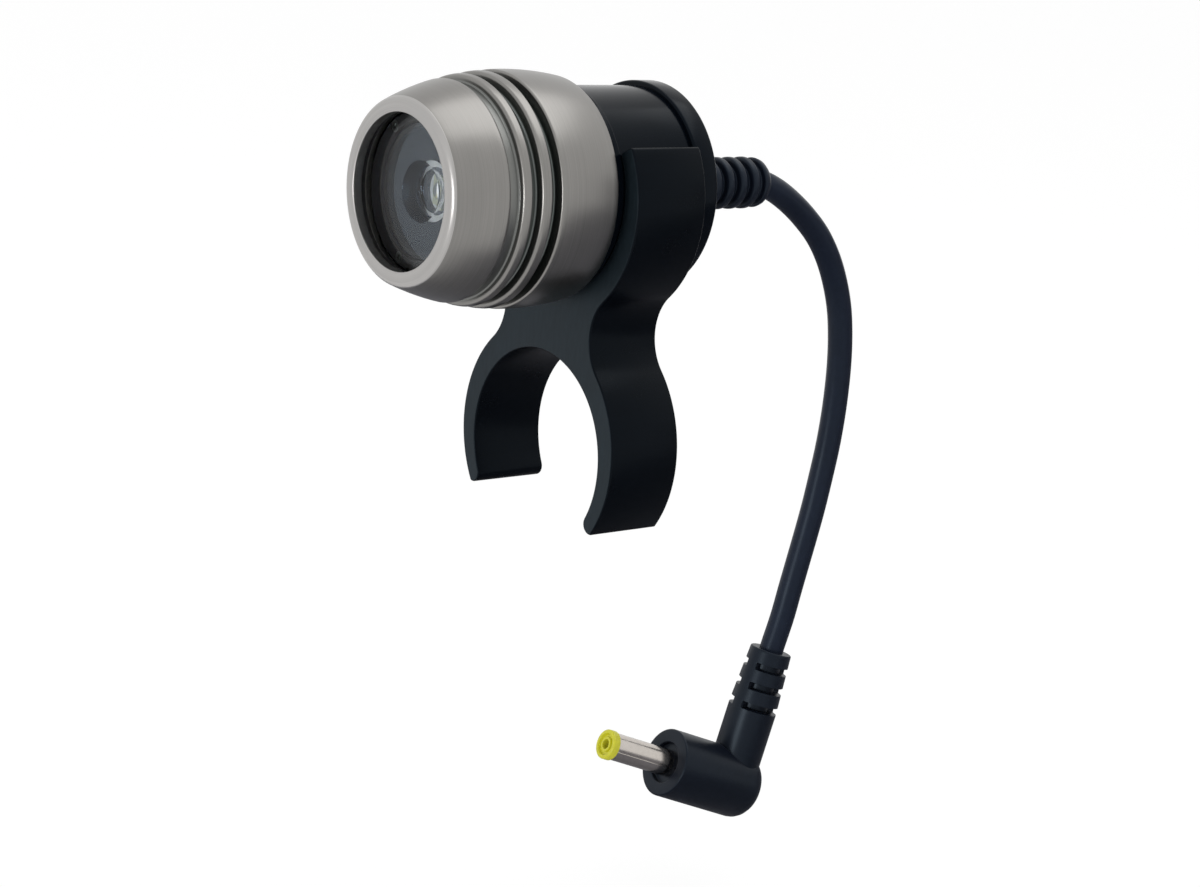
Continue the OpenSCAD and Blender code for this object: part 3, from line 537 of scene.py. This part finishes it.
def clip_outline():
    """The right half of the outline from the top of the bar seat, down round the lower end, up the
    outside and round the upper end to the bottom of the lamp seat; then its mirror image."""
    half_span = AXIS_GAP / 2 - CROWN
    fillet_r = ((NECK_HALF_W**2 + half_span**2 - CLIP_OUT_R**2) / (2 * (CLIP_OUT_R - NECK_HALF_W)))
    fillet = np.array([NECK_HALF_W + fillet_r, AXIS_GAP / 2])
    lower, upper, seat = np.array([0, CROWN]), np.array([0, AXIS_GAP - CROWN]), np.array([0, AXIS_GAP])
    z_in, z_out = TIP_ROUND - TIP_DROP, TIP_OUTER_ROUND - TIP_DROP
    inner = np.array([math.sqrt((BAR_SEAT_R + TIP_ROUND)**2 - z_in**2), z_in])
    outer = np.array([math.sqrt((CLIP_OUT_R - TIP_OUTER_ROUND)**2 - (z_out - CROWN)**2), z_out])
    inner_deg, outer_deg = bearing([0, 0], inner), bearing(lower, outer)
    foot_deg = bearing(lower, fillet)
    mouth = np.array([math.sin(math.radians(MOUTH_DEG)), math.cos(math.radians(MOUTH_DEG))])
    reach = math.sqrt(CLIP_OUT_R**2 - (CROWN * mouth[0])**2) - CROWN * mouth[1]
    mouth_out = seat + mouth * reach
    upper_arc = arc(upper, CLIP_OUT_R, -foot_deg, bearing(upper, mouth_out), 60)
    seat_arc = arc(seat, LAMP_SEAT_R, 90 - MOUTH_DEG, -90, 60)
    ends = [upper_arc[-4], mouth_out, seat_arc[0], seat_arc[4]]
    right = [arc([0, 0], BAR_SEAT_R, 90, inner_deg, 60), arc(inner, TIP_ROUND, inner_deg + 180, 270, 10),
             arc(outer, TIP_OUTER_ROUND, 270, 360 + outer_deg, 5)[1:],
             arc(lower, CLIP_OUT_R, outer_deg, foot_deg, 60)[1:],
             arc(fillet, fillet_r, 180 + foot_deg, 180 - foot_deg, 26)[1:-1], upper_arc[:-4],
             rounded(ends, [0, MOUTH_ROUND, MOUTH_ROUND, 0], closed=False), seat_arc[5:]]
    right = np.concatenate(right)
    whole = np.concatenate([right, right[::-1][1:-1] * [-1, 1]])
    apart = np.linalg.norm(whole - np.roll(whole, 1, 0), axis=1) > 1e-3
    return whole[apart]


outline = clip_outline()
print("clip outline:", len(outline), "points, height", np.ptp(outline[:, 1]).round(2), "mm")

# %% Clip body
EDGE_R, EDGE_STEPS = 0.3, 4
SAWN_ABOVE = 0.95  # a face is sawn if its normal points along Y by at least this much


def inset(points, by):
    """A closed outline moved inwards: each point goes along the mean of its two sides' normals."""
    side = np.roll(points, -1, 0) - points
    side /= np.linalg.norm(side, axis=1)[:, None]
    normal = np.stack([-side[:, 1], side[:, 0]], 1)
    corner = normal + np.roll(normal, 1, 0)
    corner /= (corner * normal).sum(1)[:, None]
    return points + by * corner


def clip_body():
    """Rings of the outline from front to rear. Near each face the inset is r(1 - sin t) and the place is
    r(1 - cos t) from the face, for t from 0 to 90 degrees."""
    t = np.linspace(0, math.pi / 2, EDGE_STEPS + 1)
    places = -CLIP_W / 2 + EDGE_R * (1 - np.cos(t))
    rings = [(place, EDGE_R * (1 - math.sin(angle))) for place, angle in zip(places, t)]
    rings += [(-place, by) for place, by in reversed(rings)]
    layers = []
    for place, by in rings:
        flat = inset(outline, by)
        layers.append(np.column_stack([flat[:, 0], np.full(len(flat), place), flat[:, 1]]))
    points = np.concatenate(layers) * MM
    count = len(outline)
    faces = grid_faces(len(rings), count, False, True).tolist()
    faces += [list(range(count)), list(range(len(points) - count, len(points)))]
    piece = add_mesh("double_clip", points, faces, sharp_deg=40)
    piece.data.materials.append(satin(
        "sawn_face", (0.0095, 0.0150, 0.0195), 0.48, (1500, 1500, 260), 0.012, vary=0.3, specular=0.2,
        sheen_tone=COOL))
    piece.data.materials.append(satin(
        "extruded_side", (0.0016, 0.0026, 0.0046), 0.28, (1400, 90, 1400), 0.004, specular=0.08,
        sheen_tone=COOL))
    side_face = np.abs(face_normals(piece)[:, 1]) < SAWN_ABOVE
    piece.data.polygons.foreach_set("material_index", side_face.astype(np.int32))
    piece.data.polygons.foreach_set("use_smooth", side_face)
    return piece


clip = clip_body()
print("clip faces:", len(clip.data.polygons))

# %% [markdown]
# ## The plug
#
# The plug is one moulding: a tapered entry with slots that let it bend, and a round body set at an angle
# to it. The slots are pressed into the entry's own surface, by giving each point a smaller radius where
# it lies between a slot's two edges and outside the web that joins them.

# %% Plug entry
ENTRY_LEAN = math.radians(15)
ENTRY_L, ENTRY_TOP_R, ENTRY_R, RELIEF_L = 24.9, 3.7, 4.35, 10.8
SLOT_W, SLOT_CORE_R, SLOT_WEB_W, SLOT_STARTS = 1.1, 2.6, 2.6, (2.5, 6.1, 9.7)
ENTRY_TOP = np.array([0, 51.4, -42.4]) * MM
ENTRY = Axis(ENTRY_TOP, (0, -math.sin(ENTRY_LEAN), -math.cos(ENTRY_LEAN)))


def step_up(value, edge, soft):
    """0 below edge and 1 above it, with a smooth rise soft wide."""
    t = np.clip((value - edge) / soft + 0.5, 0, 1)
    return t * t * (3 - 2 * t)


def slots(turn, along, radius):
    """The entry's radius, brought down to the core inside each slot."""
    cut = np.zeros_like(radius)
    for start in SLOT_STARTS:
        cut = np.maximum(cut, step_up(along, start, 0.2) * (1 - step_up(along, start + SLOT_W, 0.2)))
    cut *= step_up(np.abs(radius * np.cos(turn)), SLOT_WEB_W / 2, 0.4)
    return radius - cut * np.maximum(radius - SLOT_CORE_R, 0)


entry_along = np.arange(0.5, RELIEF_L + 0.6, 0.07)
entry_side = [(ENTRY_TOP_R + (ENTRY_R - ENTRY_TOP_R) * min(t / RELIEF_L, 1), t) for t in entry_along]
entry_section = section_of((0, 0), (ENTRY_TOP_R, 0, 0.35), *entry_side, (ENTRY_R, 12.5), (ENTRY_R, ENTRY_L),
                           (0, ENTRY_L))
plug_entry = lathe("plug_entry", ENTRY, entry_section, 220, closed=False, press=slots)

# %% Plug body
PLUG_TURN, PLUG_RISE = math.radians(8), math.radians(21)
PLUG_R, PLUG_FRONT_L, PLUG_REAR_L, PLUG_ROUND = 6.0, 15.2, 4.1, 4.0
RECESS_R, RECESS_DEPTH, ROOT_L, PIN_R, PIN_REACH = 3.6, 1.0, 4.0, 2.375, 12.1
plug_cross = ENTRY.origin + ENTRY.along * ENTRY_L * MM
plug_turn = (Matrix.Rotation(-ENTRY_LEAN, 3, "X") @ Matrix.Rotation(-PLUG_TURN, 3, "Z")
             @ Matrix.Rotation(ENTRY_LEAN + math.pi / 2 - PLUG_RISE, 3, "X"))
PLUG = Axis(plug_cross, plug_turn @ Vector((0, 0, 1)))
ROOT_S, PIN_END_S = PLUG_FRONT_L - RECESS_DEPTH - ROOT_L, PLUG_FRONT_L + PIN_REACH
plug_section = section_of(
    (0, -PLUG_REAR_L), (PLUG_R, -PLUG_REAR_L, PLUG_ROUND), (PLUG_R, PLUG_FRONT_L, 0.3),
    (RECESS_R, PLUG_FRONT_L, 0.25), (RECESS_R, PLUG_FRONT_L - RECESS_DEPTH, 0.2),
    (PIN_R + 0.02, PLUG_FRONT_L - RECESS_DEPTH), (PIN_R + 0.02, ROOT_S), (0, ROOT_S))
plug_front = lathe("plug_front", PLUG, plug_section, 128, closed=False)

# %% [markdown]
# The plug's pin is a rolled tube of nickel-plated brass, so one seam runs along it. Its yellow tip is
# the end of the sleeve that keeps the inner contact apart from the tube.

# %% Pin and tip
SEAM_W, SEAM_DEPTH = 0.32, 0.12
toward = camera_axes(AZIMUTH, ELEVATION, 0)[2]
seam_turn = math.atan2(np.dot(PLUG.across, toward), np.dot(PLUG.side, toward)) - 0.12


def seam(turn, along, radius):
    """A shallow groove along the outside of the tube, SEAM_W wide."""
    offset = np.abs((turn - seam_turn + math.pi) % (2 * math.pi) - math.pi) * PIN_R
    return radius - SEAM_DEPTH * (1 - step_up(offset, SEAM_W / 2, 0.12)) * (radius > PIN_R - 0.2)


pin_angles = np.sort(np.concatenate([np.linspace(0, 2 * math.pi, 97),
                                     (seam_turn + np.linspace(-0.15, 0.15, 25)) % (2 * math.pi)]))
pin_section = section_of((PIN_R - 0.3, ROOT_S), (PIN_R, ROOT_S), (PIN_R, PIN_END_S, 0.08),
                         (PIN_R - 0.3, PIN_END_S))
pin = lathe("plug_pin", PLUG, pin_section, angles=pin_angles, press=seam)

TIP_R, TIP_L, SLEEVE_R, BORE_R = 2.6, 1.4, 1.3, 0.85
tip_end = PIN_END_S + TIP_L
tip_section = section_of(
    (TIP_R, PIN_END_S, 0.12), (TIP_R, tip_end, 0.3), (1.95, tip_end, 0.12), (1.8, tip_end - 0.5),
    (SLEEVE_R, tip_end - 0.5), (SLEEVE_R, tip_end - 0.08, 0.1), (BORE_R, tip_end - 0.08, 0.1),
    (BORE_R, PIN_END_S))
tip = lathe("plug_tip_moulded", PLUG, tip_section, 96)
print("plug pieces:", [piece.name for piece in (plug_entry, plug_front, pin, tip)])

# %% [markdown]
# ## Behind the window
#
# A clear optic sits in a black holder behind the glass. Its side is a quarter of an ellipse, with a wide
# hollow in its face and a small domed one over the emitter. A white ring round the emitter, which the
# real lamp doesn't have, is a painted highlight: the optic bends it into the bright crescent. Both hollows
# are deeper here than in the solid, for the look.

# %% Optic, glass and holder
LENS_S, LENS_END_S, LENS_R, FLANGE_T, LENS_SIDE_R, LENS_FOOT_R = 4.75, 8.85, 10.21, 1.2, 9.41, 4.6
HOLLOW_R, HOLLOW_WALL = 3.3, 1.25
WELL_TOP_R, WELL_END_R, WELL_DEPTH = 4.6, 3.8, 2.0
RING_R, RING_END_R, RING_S, RING_END_S = 3.6, 5.0, 9.45, 9.7


def optic_side(steps):
    """The side as a quarter of an ellipse, from the flange's back to the foot."""
    t = np.linspace(0, 1, steps)
    depth = LENS_END_S - LENS_S - FLANGE_T
    return [(LENS_FOOT_R + (LENS_SIDE_R - LENS_FOOT_R) * math.cos(math.pi / 2 * a),
             LENS_S + FLANGE_T + depth * math.sin(math.pi / 2 * a)) for a in t]


def foot_hollow(steps):
    """A hollow in the optic's foot: a straight wall, then a low dome that ends on the axis."""
    t = np.linspace(0, math.pi / 2, steps)
    top = LENS_END_S - HOLLOW_WALL
    return [(HOLLOW_R, LENS_END_S)] + [(HOLLOW_R * math.cos(a), top - 0.3 * math.sin(a)) for a in t]


lens_section = section_of(
    (0, LENS_S + WELL_DEPTH), (WELL_END_R, LENS_S + WELL_DEPTH, 0.15), (WELL_TOP_R, LENS_S, 0.1),
    (LENS_R, LENS_S, 0.1), (LENS_R, LENS_S + FLANGE_T, 0.1), *optic_side(18), *foot_hollow(12))
optic = lathe("optic_moulded", LAMP, lens_section, 144, closed=False)
ring_section = section_of((RING_R, RING_S, 0.05), (RING_END_R, RING_S, 0.05), (RING_END_R, RING_END_S),
                          (RING_R, RING_END_S))
# Painted highlight: a white ring that the lamp doesn't have, lit so that the optic shows a bright crescent.
crescent_highlight_ring = lathe("highlight_ring_white", LAMP, ring_section, 96)
glass_section = section_of((0, GLASS_S), (GLASS_R, GLASS_S, 0.15), (GLASS_R, GLASS_END_S, 0.15),
                           (0, GLASS_END_S))
glass = lathe("window_disc", LAMP, glass_section, 144, closed=False)
print("behind the window:", [piece.name for piece in (optic, crescent_highlight_ring, glass)])

# %% [markdown]
# ## The cord
#
# The cord leaves the ribbed sleeve, bends down under its own weight and hangs to the plug. It is 96 mm
# long between the two. The points below are the same route that its solid follows; a smooth curve
# through them gives the middle line, and the jacket is a round tube carried along it.

# %% Cord route and tube
CORD_DIAMETER = 2 * CORD_R * MM
CORD_YZ_MM = np.array([
    [35.45, 41.7], [38.4, 40.8], [42.3, 38.7], [46.4, 35.8], [50.2, 32.4], [53.3, 28.4], [55.7, 24.0],
    [57.5, 19.3], [58.6, 14.3], [59.2, 9.3], [59.4, 4.2], [59.3, -0.9], [58.9, -6.0], [58.2, -11.1],
    [57.4, -16.2], [56.4, -21.2], [55.3, -26.2], [54.2, -31.2], [53.1, -36.4], [51.4, -42.4]])
CORD_START, CORD_END = np.array([1.0, 0.0]), -np.array([math.sin(ENTRY_LEAN), math.cos(ENTRY_LEAN)])


def smooth_route(points, start_dir, end_dir, steps=10):
    """Cubic Hermite pieces through the points: the direction at a point is that of its two neighbours,
    and the ends keep the directions given."""
    gap = np.linalg.norm(np.diff(points, axis=0), axis=1)
    slope = np.empty_like(points)
    slope[1:-1] = (points[2:] - points[:-2]) / (gap[1:] + gap[:-1])[:, None]
    slope[0], slope[-1] = start_dir, end_dir
    t = np.linspace(0, 1, steps, endpoint=False)[None, :, None]
    p0, p1, h = points[:-1, None], points[1:, None], gap[:, None, None]
    m0, m1 = slope[:-1, None] * h, slope[1:, None] * h
    curve = ((2 * t**3 - 3 * t**2 + 1) * p0 + (t**3 - 2 * t**2 + t) * m0
             + (-2 * t**3 + 3 * t**2) * p1 + (t**3 - t**2) * m1)
    return np.vstack([curve.reshape(-1, points.shape[1]), points[-1]])


def tube_along(name, route, radius, sides=28):
    """A round tube with flat ends along a route (N, 3) that lies in a plane of constant x.
    Each ring is radius * (cos a * X + sin a * N), where N is square to the route and to X."""
    step = np.gradient(route, axis=0)
    along = step / np.linalg.norm(step, axis=1)[:, None]
    across = np.cross(along, [1.0, 0, 0])
    a = np.linspace(0, 2 * math.pi, sides + 1)
    ring = (np.cos(a)[None, :, None] * np.array([1.0, 0, 0]) + np.sin(a)[None, :, None] * across[:, None])
    points = route[:, None] + radius * ring
    points = np.concatenate([np.repeat(route[:1, None], sides + 1, 1), points,
                             np.repeat(route[-1:, None], sides + 1, 1)])
    path = np.concatenate([[0], np.cumsum(np.linalg.norm(np.diff(points[:, 0], axis=0), axis=1))])
    u, v = np.meshgrid(a / (2 * math.pi), path * 100)
    faces = grid_faces(len(points), sides + 1, False, False)
    return add_mesh(name, points.reshape(-1, 3), faces, np.stack([u.ravel(), v.ravel()], 1))


cord_yz = smooth_route(CORD_YZ_MM, CORD_START, CORD_END) * MM
cord_route = np.column_stack([np.zeros(len(cord_yz)), cord_yz])
jacket = tube_along("cord_jacket", cord_route, CORD_DIAMETER / 2)
jacket.data.materials.append(satin(
    "cord_jacket_rubber", (0.0085, 0.0120, 0.0250), 0.36, (900, 900, 900), 0.006, specular=0.2,
    sheen_tone=COOL))
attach(jacket, "lamp_head")
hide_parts("power_cord")

# %% [markdown]
# ## Finishes
#
# Every piece says which body it moves with, which solids it stands for, and which finish it has. The
# solids that stay in sight, mostly those behind the window and inside the tube, get a finish by slot.
# The window and the optic bend light less than real glass and acrylic do: those values are for the look.

# %% Dress the pieces
# The groove tone here is painted shade in the barrel's grooves.
TURNED = turned_metal("turned_silver", (0.240, 0.233, 0.222), 0.31, painted_groove_shade=(0.110, 0.122, 0.118))
ANODISED = satin("black_anodised", (0.0020, 0.0035, 0.0065), 0.17, (2600, 300, 2600), 0.002, specular=0.08,
                 sheen_tone=COOL)
RUBBER = satin("relief_rubber", (0.0070, 0.0100, 0.0190), 0.36, (1300, 1300, 1300), 0.008, specular=0.22,
               sheen_tone=COOL)
PLUG_PLASTIC = satin("plug_plastic", (0.0050, 0.0070, 0.0130), 0.34, (1100, 1100, 1100), 0.008,
                     specular=0.22, sheen_tone=COOL)
NICKEL = satin("nickel", (0.56, 0.52, 0.48), 0.20, (900, 900, 900), 0.002, metallic=1.0, vary=0.08)
YELLOW = satin("tip_yellow", (0.72, 0.70, 0.035), 0.38, (1500, 1500, 1500), 0.006, vary=0.08)
LENS_CLEAR = clear("clear_optic", (0.96, 0.98, 1.0), 1.42, 0.0, 0.28, sheen_tone=(0.55, 0.76, 1.0))
GLASS_CLEAR = clear("window_glass", (0.97, 0.99, 1.0), 1.2, haze=0.0, specular=0.4)
# The finish of the white ring that makes the painted highlight.
WHITE = satin("highlight_ring_white", (0.92, 0.93, 0.90), 0.25, vary=0.04)
DRESSED = [
    (bezel, TURNED, "turned_silver", "bezel", ["bezel_ring"]),
    (barrel, TURNED, "turned_silver", "lamp_head", ["body_shell"]),
    (tube, ANODISED, "black_anodised", "lamp_head", ["rear_housing"]),
    (cap, ANODISED, "black_anodised", "lamp_head", ["rear_cap"]),
    (sleeve, RUBBER, "relief_rubber", "lamp_head", ["strain_relief"]),
    (clip, None, "bracket_acetal", "bracket", ["clip_bracket"]),
    (plug_entry, PLUG_PLASTIC, "plug_plastic", "lamp_head", ["plug_body"]),
    (plug_front, PLUG_PLASTIC, "plug_plastic", "lamp_head", ["plug_body"]),
    (pin, NICKEL, "nickel", "lamp_head", ["plug_barrel"]),
    (tip, YELLOW, "tip_yellow", "lamp_head", ["plug_tip"]),
    (optic, LENS_CLEAR, "clear_optic", "lamp_head", ["optic_lens"]),
    # The white ring is a painted highlight, listed under the ceramic's slot.
    (crescent_highlight_ring, WHITE, "ceramic_white", "lamp_head", []),
    (glass, GLASS_CLEAR, "window_glass", "window_pack", ["front_glass"]),
]
for piece, material, slot, body, stands_for in DRESSED:
    if material:
        piece.data.materials.append(material)
    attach(piece, body)
    if stands_for:
        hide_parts(*stands_for)
print("dressed:", len(DRESSED), "pieces")

# %% [markdown]
# Two pieces have a second finish. The bezel's front faces are lighter than its side: this is painted light,
# at least in part, a lit copy of the turned metal. The optic's side is painted shade: it is black where the
# real one is clear, because a clear one would fill the window with its white surroundings.

# %% Second finishes
FRONT_FACING = -0.45  # a bezel face is a front one if its normal's part along Y is less than this
# Painted light: a lighter copy of the turned metal for the bezel's front faces.
TURNED_FRONT_PAINTED_LIGHT = turned_metal("turned_front_painted_light", (0.42, 0.41, 0.40), 0.30)
# Painted shade: the optic's clear side is made opaque black.
OPTIC_SIDE_PAINTED_SHADE = satin("optic_side_painted_shade", (0.004, 0.008, 0.018), 0.4, (300, 300, 300), 0.00002, vary=0.1,
                   specular=0.1)


def face_places(piece):
    """How far each face lies behind the lamp's front and from the lamp's axis, in millimetres."""
    centres = np.empty(len(piece.data.polygons) * 3)
    piece.data.polygons.foreach_get("center", centres)
    centres = centres.reshape(-1, 3)
    behind = (centres[:, 1] - LAMP.origin[1]) / MM
    from_axis = np.linalg.norm(centres[:, [0, 2]] - LAMP.origin[[0, 2]], axis=1) / MM
    return behind, from_axis


def second_finish(piece, material, chosen):
    """Gives the piece a second finish on the faces where chosen is True."""
    piece.data.materials.append(material)
    piece.data.polygons.foreach_set("material_index", chosen.astype(np.int32))
    print(piece.name, "has", material.name, "on", int(chosen.sum()), "faces")


# Painted light on the bezel's front faces.
second_finish(bezel, TURNED_FRONT_PAINTED_LIGHT, face_normals(bezel)[:, 1] < FRONT_FACING)
behind, from_axis = face_places(optic)
# Painted shade on the optic's side.
second_finish(optic, OPTIC_SIDE_PAINTED_SHADE, (behind > LENS_S + 0.1) & (from_axis > WELL_TOP_R + 0.2))

# %% Finishes of the solids that stay
FINISHES = {
    "seal_rubber": ((0.0055, 0.005, 0.0045), 0.5, 0.0),
    "holder_black": ((0.003, 0.004, 0.006), 0.35, 0.0),
    "screw_steel": ((0.16, 0.18, 0.17), 0.35, 1.0),
    "board_dark": ((0.010, 0.014, 0.024), 0.4, 0.0),
    "ceramic_white": ((0.62, 0.63, 0.42), 0.4, 0.0),
    "phosphor_yellow": ((0.85, 0.76, 0.10), 0.5, 0.0),
    "solder": ((0.6, 0.6, 0.62), 0.25, 1.0),
    "wire_red": ((0.5, 0.03, 0.02), 0.4, 0.0),
    "wire_black": ((0.02, 0.02, 0.02), 0.4, 0.0),
    "board_green": ((0.02, 0.14, 0.05), 0.4, 0.0),
    "ferrite": ((0.06, 0.06, 0.065), 0.5, 0.0),
    "chip_black": ((0.03, 0.03, 0.03), 0.5, 0.0),
    "capacitor_tan": ((0.40, 0.27, 0.12), 0.4, 0.0),
    "brass": ((0.65, 0.48, 0.20), 0.3, 1.0),
}
finishes = {name: satin(name, tone, rough, (500, 500, 500), 0.0008, metallic=metal)
            for name, (tone, rough, metal) in FINISHES.items()}
finishes.update({"turned_silver": TURNED, "black_anodised": ANODISED, "relief_rubber": RUBBER,
                 "bracket_acetal": clip.data.materials[0], "cord_jacket": jacket.data.materials[0],
                 "plug_plastic": PLUG_PLASTIC, "nickel": NICKEL, "tip_yellow": YELLOW,
                 "clear_optic": LENS_CLEAR, "window_glass": GLASS_CLEAR,
                 "clear_dome": clear("clear_dome", (0.98, 0.98, 1.0), 1.45)})
for part in frame["record"]["subparts"]:
    node_object = frame["nodes"][part["node"]]
    node_object.data.materials.clear()
    node_object.data.materials.append(finishes[part["material_slot"]])
print("finishes by slot:", len(finishes))

# %% [markdown]
# ## Stage and light
#
# The lamp hangs over a pale floor that curves up into a backdrop. A ray from the camera, or one that
# metal or glass sends on, finds the floor and the world white. All other rays find them plainer, so the
# light stays level and the floor keeps the object's shadow.

# %% Floor and backdrop
FLOOR_Z, FLOOR_GLOW, WORLD_LIGHT = -0.085, 0.88, 0.5


def seen_directly(node, link):
    """1 for a ray from the camera, or one that a mirror or glass sends on, and 0 for any other."""
    path = node("LightPath")
    total = path.outputs["Is Camera Ray"]
    for name in ("Is Glossy Ray", "Is Transmission Ray"):
        made = node("Math", operation="MAXIMUM")
        link(total, made.inputs[0])
        link(path.outputs[name], made.inputs[1])
        total = made.outputs[0]
    return total


def make_stage():
    """A pale floor that curves up into a backdrop far behind the object."""
    across = np.linspace(-4, 4, 2)
    bend = np.linspace(0, math.pi / 2, 24)
    depth = np.concatenate([[-3.0], 2.0 + 0.8 * np.sin(bend), [2.8]])
    height = np.concatenate([[0.0], 0.8 - 0.8 * np.cos(bend), [4.0]])
    away = -np.array(camera_axes(AZIMUTH, 0, 0)[2])
    side = np.array([-away[1], away[0], 0])
    points = (across[None, :, None] * side + depth[:, None, None] * away
              + height[:, None, None] * np.array([0, 0, 1.0]) + np.array([0, 0, FLOOR_Z]))
    floor = add_mesh("floor", points.reshape(-1, 3), grid_faces(len(depth), 2, False, False))
    material, shader, node, link = start_material("floor_white", (0.9, 0.9, 0.9), 0.0, 0.8)
    glow = node("Emission", Strength=1.06)
    share = node("Math", operation="MULTIPLY")
    link(seen_directly(node, link), share.inputs[0])
    share.inputs[1].default_value = FLOOR_GLOW
    mix = node("MixShader")
    link(share.outputs[0], mix.inputs[0])
    link(shader.outputs[0], mix.inputs[1])
    link(glow.outputs[0], mix.inputs[2])
    link(mix.outputs[0], material.node_tree.nodes["Material Output"].inputs["Surface"])
    floor.data.materials.append(material)


make_stage()
print("floor at", FLOOR_Z, "m")

# %% [markdown]
# Round metal looks round when its reflections run from light to dark. A dark card lies behind the object
# and bends up at its far end. Only mirror-like reflections see it, as they would see a black flag in a
# studio.

# %% Dark card
def make_flag():
    """The card: its outline on the floor, widening away from the camera, and the part that stands up."""
    points = np.array([[-0.25, -0.03, 0], [0.10, -0.03, 0], [0.60, 0.42, 0], [0.75, 1.0, 0], [-0.25, 1.0, 0],
                       [-0.25, 1.0, 0.35], [0.75, 1.0, 0.35]]) + [0, 0, FLOOR_Z + 0.002]
    flag = add_mesh("flag", points, [[0, 1, 2, 3, 4], [4, 3, 6, 5]])
    flag.data.materials.append(start_material("flag_dark", (0.28, 0.28, 0.31), 0.0, 0.9)[0])
    flag.visible_camera = False
    flag.visible_diffuse = False
    flag.visible_transmission = False
    flag.visible_shadow = False


make_flag()

# %% World and lamps
SOFTBOXES = [("key", (0.05, 0.25, 0.9), 0.8, 3.0), ("front", (0.15, -0.85, -0.05), 0.3, 3.0)]


def make_world():
    """A world that looks white and lights the object at a plain level."""
    world = bpy.data.worlds.new("studio")
    world.use_nodes = True
    bpy.context.scene.world = world
    tree = world.node_tree
    node, link = node_maker(tree), tree.links.new
    background = tree.nodes["Background"]
    background.inputs["Color"].default_value = (1, 1, 1, 1)
    link(spread(node, link, seen_directly(node, link), WORLD_LIGHT, 1.0), background.inputs["Strength"])


def softbox(name, place, size, watts):
    """A square lamp that faces the lamp head."""
    data = bpy.data.lights.new(name, "AREA")
    data.size = size
    data.energy = watts
    light = bpy.data.objects.new(name, data)
    light.location = place
    light.rotation_euler = (Vector(place) - Vector((0, 0, 0.02))).to_track_quat("Z", "Y").to_euler()
    bpy.context.scene.collection.objects.link(light)


make_world()
for name, place, size, watts in SOFTBOXES:
    softbox(name, place, size, watts)
bpy.context.scene.view_settings.view_transform = "Standard"
print("lamps:", [box[0] for box in SOFTBOXES])
